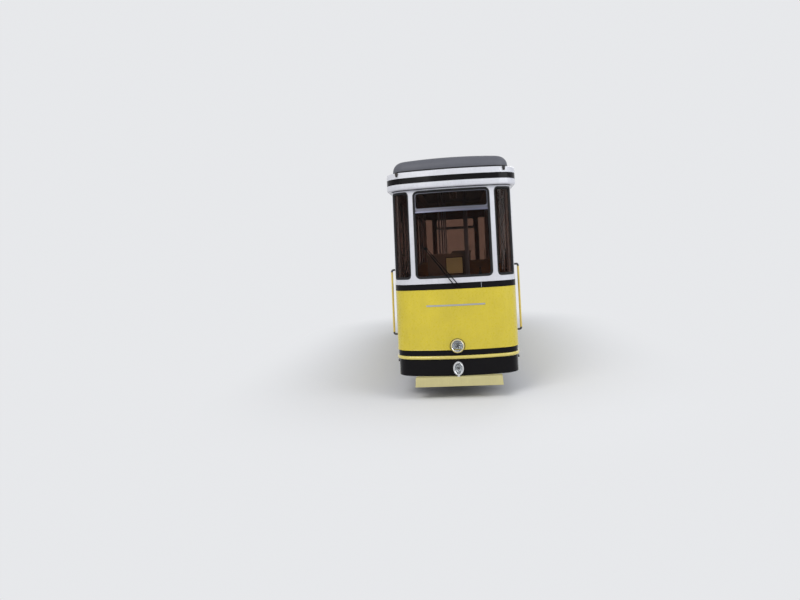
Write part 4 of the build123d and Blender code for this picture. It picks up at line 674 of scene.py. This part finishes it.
window_pitch = (2 * DOOR_START - SIDE_POST) / SIDE_WINDOWS
window_starts = [SIDE_POST - DOOR_START + window_pitch * index for index in range(SIDE_WINDOWS)]
TILT_BAR, TILT_BAR_IN = 3.10, 0.02
side_rubber, side_sashes = Trim(), Trim()
for side in SIDES.values():
    for start in window_starts:
        stop = start + window_pitch - SIDE_POST
        spot = side_surface(side)
        loop = rounded_loop(start, stop, WINDOW_LOW, SIDE_WINDOW_HIGH, [SIDE_ROUND] * 4, pitch=2)
        frames = loop_frames(spot, loop)
        side_rubber.sweep(frames, SIDE_RUBBER, True)
        side_sashes.sweep(frames, SASH, True)
        places = (start + TILT_BAR_IN, stop - TILT_BAR_IN)
        bar = [(spot(place, TILT_BAR), PLUMB, ACROSS * side) for place in places]
        side_sashes.sweep(bar, TILT_BAR_SECTION)
side_rubber.piece("side_window_rubbers", "black_rubber")
side_sashes.piece("side_window_sashes", "bright_metal")

for door, end, side in CORNERS:
    start, stop = sorted(end * place for place in (DOOR_START - DOOR_LAP, DOOR_END + DOOR_LAP))
    loop = rounded_loop(start + DOOR_STILE, stop - DOOR_STILE, WINDOW_LOW, DOOR_WINDOW_HIGH,
                        [SIDE_ROUND] * 4, pitch=2)
    rubber_ring = Trim()
    rubber_ring.sweep(loop_frames(side_surface(side, LEAF_INSET), loop), DOOR_RUBBER, True)
    rubber_ring.piece(f"{door}_rubber", "black_rubber", f"{door}_leaf")

# Seals up both sides of each door opening, inside the thickness of the wall
door_seals = Trim()
for _, end, side in CORNERS:
    for place, into in ((DOOR_START, 1), (DOOR_END, -1)):
        edge = [(side_surface(side)(end * place, height), FORWARD * end * into, ACROSS * side)
                for height in (DOOR_SILL, BAND_LOW)]
        door_seals.sweep(edge, SEAL)
door_seals.piece("door_seals", "black_rubber")

# Rail along the foot of each vent pane
VENT_RAIL_HALF = SCREEN_HALF - 0.022
vent_rails = Trim()
for end in ENDS.values():
    places = [-VENT_RAIL_HALF] + [0.05 * step for step in range(-12, 13)] + [VENT_RAIL_HALF]
    rail = [(nose_surface(end)(x, VENT_LOW - 0.001), PLUMB, FORWARD * end) for x in places]
    vent_rails.sweep(rail, VENT_RAIL)
vent_rails.piece("vent_rails", "vent_rail", slot="bright_metal")

# Lines round the body

LIP = ((0.0, 0.0003), (0.002, 0.0050), (0.006, 0.0068), (0.010, 0.0050), (0.012, 0.0003))
EAVES = ((0.0, 0.0003), (0.002, 0.010), (0.010, 0.013), (0.014, 0.010), (0.015, 0.0003))
EAVES_SHADE_SEAL = ((0.0, 0.0003), (0.0, 0.004), (0.0105, 0.004), (0.0105, 0.0003))
PANEL_LIP = ((0.0, 0.0003), (0.001, 0.006), (0.007, 0.0085), (0.012, 0.006), (0.014, 0.0003))
BAND_BEAD = ((0.0, 0.0003), (0.002, 0.0032), (0.006, 0.0032), (0.008, 0.0003))
BAND_BEAD_LIFTS = (0.030, 0.052)
EAVES_DROP, EAVES_SHADE_SEAL_DROP = 0.026, 0.011
ROOF_SHADE_SEAL = ((0.0005, 0.0), (0.0005, 0.022), (0.012, 0.020), (0.034, 0.007), (0.036, 0.0))
ROOF_INSET = HALF_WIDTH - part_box("roof")[1].x


def ring(height, plumb=True):
    """Closed ring of frames on the whole skin at a height."""
    return skin_frames(height, outline(-90, 270), plumb)


white_lines, yellow_lines, dark_lines = Trim(), Trim(), Trim()
for run in body_runs(BELT_HIGH):
    white_lines.sweep(run, LIP)
for run in body_runs(BAND_LOW - EAVES_DROP):
    white_lines.sweep(run, EAVES)
# Black seal just under the eaves of the roof band: a real strip, whose black also paints the shadow line
# under the eaves
for run in body_runs(BAND_LOW - EAVES_SHADE_SEAL_DROP):
    dark_lines.sweep(run, EAVES_SHADE_SEAL)
yellow_lines.sweep(ring(PANEL_BOTTOM), PANEL_LIP, True)

# Beads in the lower white strip of the roof band, and the black seal along the roof's foot, whose black also
# paints the shadow line between roof and band
for lift in BAND_BEAD_LIFTS:
    white_lines.sweep(ring(BAND_LOW + lift), [(rise, BAND_OUT + out) for rise, out in BAND_BEAD], True)
dark_lines.sweep(ring(BAND_HIGH, False), [(rise, out - ROOF_INSET) for rise, out in ROOF_SHADE_SEAL], True)
white_lines.piece("white_beads", "white_paint")
yellow_lines.piece("panel_lip", "yellow_paint")
# The black seals, which also paint the shadow lines under the eaves and at the roof's foot
dark_lines.piece("gutter_seal_and_painted_shade", "black_rubber")

# Lamps: gasket, bezel, reflector and bulb. The black gasket rings also paint the dark shade round each lamp

# Height of a lamp's centre, its half width, half height and depth
LAMPS = {"upper": (0.880, 0.120, 0.120, 0.030), "lower": (0.508, 0.092, 0.120, 0.058)}
LAMP_STEPS, BOWL_STEPS = 48, 8
CUP_FLOOR = -0.060
BOWL_EDGE = 0.029
BOWL_MOUTH, BOWL_FLOOR = 0.0235, 0.0205
BEZEL = ((0.0201, -0.024), (0.0201, 0.0005), (0.0221, 0.002), (0.0266, -0.0015), (0.0266, -0.007),
         (0.0221, -0.009))
BULB = ((-0.058, 0.011), (-0.040, 0.012), (-0.030, 0.015), (-0.020, 0.013), (-0.012, 0.007), (-0.010, 0.001))
BULB_SHIELD = ((-0.0095, 0.012), (-0.007, 0.019), (-0.004, 0.018), (-0.001, 0.012), (0.000, 0.002))
# Black rubber rings round the lamp rims, whose black also paints the dark shade round the lamps
GASKET_AND_SHADE_RINGS = {
    "upper": ((0.004, -0.014), (-0.008, -0.014), (-0.008, 0.004), (-0.005, 0.007), (0.002, 0.0075)),
    "lower": ((0.006, -0.024), (-0.006, -0.024), (-0.006, 0.003), (-0.003, 0.006), (0.002, 0.0065)),
}


def end_outward(end):
    """Direction out of an end, square to its plumb line."""
    return Vector((0, end * math.cos(LEAN), -end * math.sin(LEAN)))


def lamp_rings(end, lamp, steps):
    """Ovals of a lamp, each from how much smaller it is than the rim and its distance from the nose."""
    height, across, up, _ = LAMPS[lamp]
    middle = Vector((0, along(end * HALF_LENGTH, height), height))
    turns = [math.tau * step / LAMP_STEPS for step in range(LAMP_STEPS)]
    return [[middle + end_outward(end) * out + Vector((math.cos(turn) * (across - shrink), 0, 0))
             + PLUMB * math.sin(turn) * (up - shrink) for turn in turns] for shrink, out in steps]


gasket_and_shade_rings, bezels, reflectors, bulbs, shields = (Trim() for _ in range(5))
for end in ENDS.values():
    for lamp, (height, across, up, out) in LAMPS.items():
        gasket_and_shade_rings.loft(lamp_rings(end, lamp, GASKET_AND_SHADE_RINGS[lamp]), True)
        bezels.loft(lamp_rings(end, lamp, [(shrink, out + reach) for shrink, reach in BEZEL]), True)
        bowl = [(BOWL_MOUTH + (across - BOWL_MOUTH - BOWL_FLOOR) * (1 - math.sqrt(1 - share)),
                 out - BOWL_EDGE + (CUP_FLOOR - out + BOWL_EDGE) * share)
                for share in (step / BOWL_STEPS for step in range(BOWL_STEPS + 1))]
        outside = [(shrink - 0.0020, reach - 0.0025) for shrink, reach in bowl]
        reflectors.loft(lamp_rings(end, lamp, list(reversed(bowl)) + outside))
        middle = Vector((0, along(end * HALF_LENGTH, height), height))
        lift = out - LAMPS["upper"][3]
        bulbs.turned(middle + end_outward(end) * lift, end_outward(end), BULB)
        shields.turned(middle + end_outward(end) * lift, end_outward(end), BULB_SHIELD)
gasket_and_shade_rings.piece("lamp_gasket_and_shade_rings", "black_rubber")
bezels.piece("lamp_bezels", "chrome")
reflectors.piece("lamp_reflectors", "chrome", sharp=60)
bulbs.piece("lamp_bulbs", "lens_glass")
shields.piece("lamp_bulb_shields", "dark_steel")

# Blank plate behind each windscreen, in a thin dark frame


def nose_bar(trim, end, start, stop, height, half, front, back, steps=10):
    """Flat bar that follows the nose between two x, as the end is seen from outside."""
    spot = nose_surface(end)
    frames = []
    for step in range(steps + 1):
        x = -end * (start + (stop - start) * step / steps)
        frames.append((spot(x, height), PLUMB, end_outward(end)))
    edge = min(0.0015, half / 3)
    trim.sweep(frames, ((-half, back), (half, back), (half, front - edge), (half - edge, front),
                        (edge - half, front), (-half, front - edge)))


PLATE = (-0.125, 0.150, 2.105, 2.375)
PLATE_EDGE = 0.012
PLATE_DEPTHS, FRAME_DEPTHS = (-0.0375, -0.0405), (-0.0355, -0.0425)
STRIP_REACH, STRIP_HEIGHT, STRIP_HALF, STRIP_DEPTHS = 0.50, 1.565, 0.013, (0.0045, 0.0003)
plates, plate_frames, end_strips = Trim(), Trim(), Trim()
left, right, low, high = PLATE
middle, half = (low + high) / 2, (high - low) / 2
for end in ENDS.values():
    nose_bar(plates, end, left, right, middle, half, *PLATE_DEPTHS)
    for height in (low - PLATE_EDGE / 2, high + PLATE_EDGE / 2):
        nose_bar(plate_frames, end, left - PLATE_EDGE, right + PLATE_EDGE, height, PLATE_EDGE / 2,
                 *FRAME_DEPTHS)
    for start in (left - PLATE_EDGE, right):
        nose_bar(plate_frames, end, start, start + PLATE_EDGE, middle, half, *FRAME_DEPTHS, 1)
    nose_bar(end_strips, end, -STRIP_REACH, STRIP_REACH, STRIP_HEIGHT, STRIP_HALF, *STRIP_DEPTHS, 24)
plates.piece("windscreen_plates", "plate_enamel", slot="cream_paint")
plate_frames.piece("windscreen_plate_frames", "black_rubber")
end_strips.piece("end_strips", "bright_metal")

# Clips over the belt stripe, on the ends and along the sides

END_CLIP = 0.45
SIDE_CLIPS = (-2.62, -0.87, 0.87, 2.62)
CLIP_HALF, CLIP_DEPTHS, CLIP_THICK = 0.0035, (0.0065, 0.0032), 0.0034
BELT_MIDDLE = (BELT_LOW + BELT_HIGH) / 2
CLIP_HIGH = BELT_HIGH - BELT_LOW - 0.008
clips = Trim()
for end in ENDS.values():
    nose_bar(clips, end, END_CLIP - CLIP_HALF, END_CLIP + CLIP_HALF, BELT_MIDDLE, CLIP_HIGH / 2, *CLIP_DEPTHS,
             1)
for side in SIDES.values():
    for place in SIDE_CLIPS:
        middle = side_surface(side)(place, BELT_MIDDLE, 0.005)
        clips.block(middle, (CLIP_THICK, 2 * CLIP_HALF, CLIP_HIGH), 0.001, LEANING_AXES)
clips.piece("belt_clips", "bright_metal")

# Rosettes under the feet and heads of the grab rails

ROSETTE = ((-0.001, 0.034), (0.004, 0.034), (0.0065, 0.029), (0.0065, 0.019))
SCREW = ((0, 0.0038), (0.0018, 0.0034), (0.0026, 0.0018))
SCREW_CIRCLE = 0.0255
RAIL_PLACES = (DOOR_START - 0.060, DOOR_END + 0.110)
RAIL_HEIGHTS = (1.050, 2.195)
rosettes, rosette_screws = Trim(), Trim()
for _, end, side in CORNERS:
    out = ACROSS * side
    for place in RAIL_PLACES:
        for height in RAIL_HEIGHTS:
            middle = side_surface(side)(end * place, height)
            rosettes.turned(middle, out, ROSETTE, 32)
            for degrees in (45, 165, 285):
                angle = math.radians(degrees)
                around = Vector((0, math.cos(angle), math.sin(angle))) * SCREW_CIRCLE
                rosette_screws.turned(middle + around + out * 0.0055, out, SCREW, 12)
rosettes.piece("rail_rosettes", "dark_steel")
rosette_screws.piece("rosette_screws", "bright_metal")

# Flush pulls on the outer faces of the doors, and kick plates at their feet

PULL_PLACE, PULL_HEIGHT, KICK_HEIGHT = 4.300, 2.27, 1.052
for door, end, side in CORNERS:
    leaf = side_surface(side, LEAF_INSET)
    for name, finish, place, height, out, size, edge in (
            ("pull", "bright_metal", PULL_PLACE, PULL_HEIGHT, 0.0005, (0.0018, 0.052, 0.180), 0.0008),
            ("pull_cup", "dark_steel", PULL_PLACE, PULL_HEIGHT, 0.0012, (0.0010, 0.034, 0.150), 0.0004),
            ("kick_plate", "bright_metal", DOOR_MIDDLE, KICK_HEIGHT, 0.0005, (0.0018, 0.80, 0.080), 0.0008)):
        fitting = Trim()
        fitting.block(leaf(end * place, height, out), size, edge, LEANING_AXES)
        fitting.piece(f"{door}_{name}", finish, f"{door}_leaf")

# Treads of the door steps, ribbed, with bolted ends

STEP_TOP, STEP_MIDDLE = 0.575, 0.560
STEP_INNER, RIB_PITCH, RIBS, RIB = 0.944, 0.019, 7, (0.008, 0.80, 0.0050)
BRACKET_FACE, BRACKET_SHIFT, BRACKET_BOLTS = 0.970, 0.330, (0.640, 0.740)
treads, tread_bolts = Trim(), Trim()
for _, end, side in CORNERS:
    middle = along(end * DOOR_MIDDLE, STEP_MIDDLE)
    for rib in range(RIBS):
        treads.block((side * (STEP_INNER + RIB_PITCH * rib), middle, STEP_TOP + 0.0022), RIB, 0.001)
    for shift in (-BRACKET_SHIFT, BRACKET_SHIFT):
        for height in BRACKET_BOLTS:
            tread_bolts.bolt((side * BRACKET_FACE, middle + shift, height), ACROSS * side, 0.008, 0.006)
treads.piece("door_step_treads", "bright_metal")
tread_bolts.piece("door_step_bolts", "cast_steel")

# Light strip along the ceiling, with its rails

CEILING = ROOF_HIGH - 0.045
LIGHT = ((-0.085, -0.004), (-0.085, -0.018), (-0.060, -0.034), (0.0, -0.040), (0.060, -0.034),
         (0.085, -0.018), (0.085, -0.004))
LIGHT_RAIL = ((-0.010, -0.003), (-0.010, -0.026), (0.010, -0.026), (0.010, -0.003))
ceiling_light, ceiling_rails = Trim(), Trim()


def ceiling_run(trim, x, half_length, profile):
    """Straight run along the ceiling."""
    ends = [Vector((x, along(place, BAND_HIGH), CEILING)) for place in (-half_length, half_length)]
    trim.sweep([(spot, ACROSS, UP) for spot in ends], profile)


ceiling_run(ceiling_light, 0, 3.1, LIGHT)
for side in SIDES.values():
    ceiling_run(ceiling_rails, side * 0.095, 3.12, LIGHT_RAIL)
ceiling_light.piece("ceiling_light", "lens_glass")
ceiling_rails.piece("ceiling_rails", "bright_metal")

# Driver's desks: controller, gauges with plain faces and push buttons

DESK_HIGH = 2.0
GAUGES = (0.22, 0.34)
GAUGE = ((-0.001, 0.052), (0.022, 0.052), (0.026, 0.047), (0.018, 0.043))
GAUGE_FACE = ((0.010, 0.044), (0.0185, 0.044))
CONTROL_POST = ((-0.001, 0.045), (0.014, 0.045), (0.020, 0.026), (0.110, 0.022), (0.125, 0.026),
                (0.130, 0.020))
CONTROL_ARM = (0.022, 0.130, 0.012)
CONTROL_KNOB = ((0.0, 0.010), (0.030, 0.012), (0.045, 0.020), (0.060, 0.019), (0.068, 0.008))
BUTTON = ((-0.001, 0.015), (0.006, 0.015), (0.008, 0.011), (0.014, 0.010), (0.016, 0.006))
CONTROL_X = 0.45
BUTTONS, BUTTONS_FROM, BUTTON_PITCH = 5, 0.17, 0.042
# Distances in from the nose, and heights above the desk's top
GAUGES_IN, BUTTONS_IN, POST_IN, ARM_IN, KNOB_IN = 0.40, 0.28, 0.30, 0.24, 0.185
ARM_LIFT, KNOB_LIFT = 0.118, 0.120


def desk(end, x, place):
    """Point on a desk's top, x as seen from outside and place in from the nose."""
    return Vector((-end * x, along(end * (HALF_LENGTH - place), DESK_HIGH), DESK_HIGH))


gauges, gauge_faces, controls, buttons = (Trim() for _ in range(4))
for end in ENDS.values():
    for x in GAUGES:
        gauges.turned(desk(end, x, GAUGES_IN), UP, GAUGE, 32)
        gauge_faces.turned(desk(end, x, GAUGES_IN), UP, GAUGE_FACE, 32)
    controls.turned(desk(end, CONTROL_X, POST_IN), UP, CONTROL_POST, 24)
    controls.block(desk(end, CONTROL_X, ARM_IN) + UP * ARM_LIFT, CONTROL_ARM, 0.004)
    controls.turned(desk(end, CONTROL_X, KNOB_IN) + UP * KNOB_LIFT, UP, CONTROL_KNOB, 20)
    for count in range(BUTTONS):
        buttons.turned(desk(end, BUTTONS_FROM + BUTTON_PITCH * count, BUTTONS_IN), UP, BUTTON, 20)
gauges.piece("desk_gauges", "chrome")
gauge_faces.piece("desk_gauge_faces", "white_paint")
controls.piece("desk_controllers", "cast_steel")
buttons.piece("desk_buttons", "black_gloss")

# Nosings on the floor's steps, and slats on the benches

PLATFORM_EDGES = (-4.880, -3.200, -1.067, 1.067, 3.200, 4.860)
FLOOR_LOW = 1.014
FALL = math.sin(LEAN) * math.cos(LEAN)
NOSING = (1.84, 0.036, 0.004)
BENCH_MIDDLE = 0.620


def platform_height(index, place):
    """Height of a platform at a place along it."""
    return FLOOR_LOW + (PLATFORM_EDGES[index + 1] - place) * FALL


nosings, slats = Trim(), Trim()
tread_way = Vector((0, math.cos(LEAN), -math.sin(LEAN)))
for index in range(1, 5):
    edge = PLATFORM_EDGES[index]
    height = platform_height(index, edge)
    middle = Vector((0, along(edge, height), height)) + tread_way * 0.020 + PLUMB * 0.0015
    nosings.block(middle, NOSING, 0.001, (ACROSS, tread_way, PLUMB))

BENCHES = [(index, place, facing) for index in (1, 2, 3)
           for place, facing in ((PLATFORM_EDGES[index] + 0.090, 1), (PLATFORM_EDGES[index + 1] - 0.030, -1))]
SLAT_LENGTH, SLAT_WIDTH, SLAT_DEPTH = 0.590, 0.052, 0.010
# Ends of a bench's two rows of slats, each as forward and up from its foot, and the number of slats
SLAT_RUNS = (((0.125, 0.4635), (0.490, 0.4755), 6), ((0.0400, 0.8800), (0.1120, 0.5150), 6))
for index, place, facing in BENCHES:
    height = platform_height(index, place)
    forward = tread_way * facing
    for side in SIDES.values():
        foot_spot = Vector((side * BENCH_MIDDLE, along(place, height), height))
        for (start_a, start_b), (stop_a, stop_b), count in SLAT_RUNS:
            start = foot_spot + forward * start_a + PLUMB * start_b
            stop = foot_spot + forward * stop_a + PLUMB * stop_b
            way = (stop - start).normalized()
            lift = Vector((facing, 0, 0)).cross(way)
            if lift.dot(forward + PLUMB) < 0:
                lift = -lift
            pitch = ((stop - start).length - SLAT_WIDTH) / (count - 1)
            for slat in range(count):
                middle = start + way * (SLAT_WIDTH / 2 + pitch * slat) + lift * 0.004
                slats.block(middle, (SLAT_LENGTH, SLAT_WIDTH, SLAT_DEPTH), 0.003, (ACROSS, way, lift))
nosings.piece("step_nosings", "bright_metal")
slats.piece("bench_slats", "bench_wood")

# Bolts and pins of the bogies

BOX_FACE, BOX_CIRCLE = 0.856, 0.057
FRAME_FACE, SPRING_FACE = 0.710, 0.812
EYE_REACH, EYE_HEIGHT = 0.330, 0.568
EYE_PIN = ((-0.001, 0.015), (0.006, 0.015), (0.009, 0.012))
JAW_MIDDLE, JAW_HALF, JAW_HEIGHT = -0.530, 0.068, 0.320
JAW_PIN = ((-0.006, 0.024), (0.000, 0.024), (0.003, 0.020))
# Face that a bolt sits on, its distance from the axle, its height, radius and length
AXLE_BOLTS = ((FRAME_FACE, 0.156, 0.296, 0.009, 0.008), (FRAME_FACE, 0.156, 0.376, 0.009, 0.008),
              (FRAME_FACE, 0.156, 0.456, 0.009, 0.008), (0.735, 0.150, 0.242, 0.008, 0.007),
              (0.818, 0.026, 0.497, 0.009, 0.008), (SPRING_FACE, EYE_REACH, 0.610, 0.009, 0.008),
              (SPRING_FACE, EYE_REACH, 0.655, 0.009, 0.008))
for end_name, bogie in BOGIES.items():
    body = f"{end_name}_bogie"
    bolts, pins = Trim(), Trim()
    for side in SIDES.values():
        out = ACROSS * side
        for axle in (bogie - HALF_BASE, bogie + HALF_BASE):
            for count in range(6):
                angle = math.radians(60 * count + 30)
                bolts.bolt((side * BOX_FACE, axle + BOX_CIRCLE * math.cos(angle),
                            AXLE_HEIGHT + BOX_CIRCLE * math.sin(angle)), out, 0.0085, 0.008, angle)
            for way in (-1, 1):
                for face, reach, height, radius, length in AXLE_BOLTS:
                    bolts.bolt((side * face, axle + way * reach, height), out, radius, length)
                pins.turned((side * SPRING_FACE, axle + way * EYE_REACH, EYE_HEIGHT), out, EYE_PIN, 20)
        for shift in (-0.24, -0.18, 0.18, 0.24):
            for height in (0.470, 0.580):
                bolts.bolt((side * FRAME_FACE, bogie + shift, height), out, 0.0085, 0.008)
    for hand in (-1, 1):
        for way in (-1, 1):
            x, out = hand * JAW_HALF + JAW_MIDDLE, FORWARD * way
            pins.turned((x, bogie + way * 0.180, JAW_HEIGHT), out, JAW_PIN, 20)
            bolts.bolt((x, bogie + way * 0.183, JAW_HEIGHT), out, 0.012, 0.009)
    bolts.piece(f"{end_name}_bogie_bolts", "cast_steel", body)
    pins.piece(f"{end_name}_bogie_pins", "spring_steel", body)

# Lids, louvres and latches of the equipment boxes

EQUIPMENT = (("left", -0.55, 0.90, 0.36), ("right", -0.45, 1.00, 0.40), ("right", 0.75, 0.80, 0.33),
             ("left", 0.75, 0.90, 0.30))
LID_FACE = 0.830
BOX_TOP = 0.740
LOUVRES, LOUVRE_PITCH, LOUVRE_DROP = 6, 0.030, 0.075
LATCH_PLATE = (0.010, 0.030, 0.050)
LATCH_KNOB = ((0.0, 0.009), (0.006, 0.008), (0.008, 0.004))
lids, louvres, latches = Trim(), Trim(), Trim()
for side_name, place, length, depth in EQUIPMENT:
    side = SIDES[side_name]
    y, middle = FOOT + place, BOX_TOP - depth / 2
    lids.block((side * (LID_FACE + 0.002), y, middle), (0.006, length - 0.08, depth - 0.05), 0.002)
    for count in range(LOUVRES):
        height = middle - LOUVRE_DROP + LOUVRE_PITCH * count
        spot = Vector((side * (LID_FACE + 0.008), y - length * 0.22, height))
        tilted = Vector((side * 0.5, 0, -0.86)).normalized()
        louvres.block(spot, (0.018, length * 0.34, 0.003), 0.0,
                      (tilted, FORWARD, FORWARD.cross(tilted).normalized()))
    for shift in (0.14, 0.36):
        latch_y = y + length * shift
        latches.block((side * (LID_FACE + 0.009), latch_y, middle + depth * 0.30), LATCH_PLATE, 0.003)
        latches.turned((side * (LID_FACE + 0.012), latch_y, middle + depth * 0.26), ACROSS * side,
                       LATCH_KNOB, 16)
lids.piece("equipment_lids", "dark_steel")
louvres.piece("equipment_louvres", "dark_steel")
latches.piece("equipment_latches", "bright_metal")

# Stage: a plain pale floor that fades into the colour of the backdrop away from the car


def seen_directly(tree):
    """1 for the rays that show the background: from the camera, through glass, and off shiny surfaces."""
    path = node(tree, "ShaderNodeLightPath")
    seen = maths(tree, "MAXIMUM", (path, "Is Camera Ray"), (path, "Is Transmission Ray"))
    return maths(tree, "MAXIMUM", seen, (path, "Is Glossy Ray"))


SPAN = 150.0
BACKDROP = (0.80, 0.81, 0.83)
FLOOR = (0.70, 0.70, 0.71)
FLOOR_HALF_LENGTH = 4.2
FADE_START, FADE_END = 0.9, 5.0
SKY = (0.56, 0.58, 0.61)
mesh = bpy.data.meshes.new("stage_floor")
mesh.from_pydata([(-SPAN, -SPAN, 0), (SPAN, -SPAN, 0), (SPAN, SPAN, 0), (-SPAN, SPAN, 0)], [], [(0, 1, 2, 3)])
floor = placed("stage_floor", mesh)
pale_floor, tree, shader = material("pale_floor")
fix(shader, Base_Color=rgba(FLOOR), Roughness=0.85)
split = axes_of(tree)
beyond = maths(tree, "SUBTRACT", maths(tree, "ABSOLUTE", (split, "Y")), FLOOR_HALF_LENGTH)
beyond = maths(tree, "MAXIMUM", beyond, 0.0)
squares = maths(tree, "ADD", maths(tree, "POWER", maths(tree, "ABSOLUTE", (split, "X")), 2.0),
                    maths(tree, "POWER", beyond, 2.0))
fade = node(tree, "ShaderNodeMapRange", interpolation_type="SMOOTHSTEP")
fix(fade, From_Min=FADE_START, From_Max=FADE_END)
wire(maths(tree, "SQRT", squares), (fade, "Value"))
glow = node(tree, "ShaderNodeEmission", Color=rgba(BACKDROP), Strength=1.0)
blended = node(tree, "ShaderNodeMixShader")
share = maths(tree, "MULTIPLY", (fade, "Result"), seen_directly(tree))
wire(share, (blended, 0), (shader, 0), (blended, 1), (glow, 0), (blended, 2),
     (blended, 0), (tree.nodes["Material Output"], "Surface"))
mesh.materials.append(pale_floor)
floor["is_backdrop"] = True

# Light

world = bpy.context.scene.world or bpy.data.worlds.new("world")
bpy.context.scene.world = world
world.use_nodes = True
tree = world.node_tree
sky = tree.nodes["Background"]
sky.inputs["Strength"].default_value = 1.0
wire(mix(tree, seen_directly(tree), SKY, BACKDROP), (sky, "Color"))


def area_light(name, place, target, size, power, colour=(1, 1, 1)):
    """Rectangular lamp that is aimed at a target."""
    lamp = bpy.data.lights.new(name, "AREA")
    lamp.shape = "RECTANGLE"
    lamp.size, lamp.size_y = size
    lamp.energy = power
    lamp.color = colour
    holder = placed(name, lamp)
    holder.location = place
    holder.rotation_euler = (Vector(target) - Vector(place)).to_track_quat("-Z", "Y").to_euler()


area_light("key_light", (-6, -13, 11), (0, -4, 2), (8, 6), 880, (1.0, 0.98, 0.95))
area_light("fill_light", (9, -9, 7), (0, -3, 2), (8, 6), 540, (0.95, 0.97, 1.0))
area_light("back_light", (5, 14, 12), (0, 2, 2), (9, 7), 620)

# Camera

CAMERA_PLACE = (0.111, -15.269, 2.526)
CAMERA_LEFT = math.radians(5.91)
CAMERA_DOWN = math.radians(4.63)
CAMERA_ROLL = math.radians(-3.17)
SENSOR = 36
PICTURE_WIDTH = 800
FOCAL_PIXELS = 600

camera = bpy.data.cameras.new("camera")
camera.sensor_width = SENSOR
camera.lens = SENSOR * FOCAL_PIXELS / PICTURE_WIDTH
holder = placed("camera", camera)
turn = (Matrix.Rotation(CAMERA_LEFT, 4, "Z") @ Matrix.Rotation(math.pi / 2 - CAMERA_DOWN, 4, "X")
        @ Matrix.Rotation(CAMERA_ROLL, 4, "Z"))
holder.matrix_world = Matrix.Translation(CAMERA_PLACE) @ turn
bpy.context.scene.camera = holder

bpy.context.scene.view_settings.view_transform = "Standard"

low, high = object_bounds()
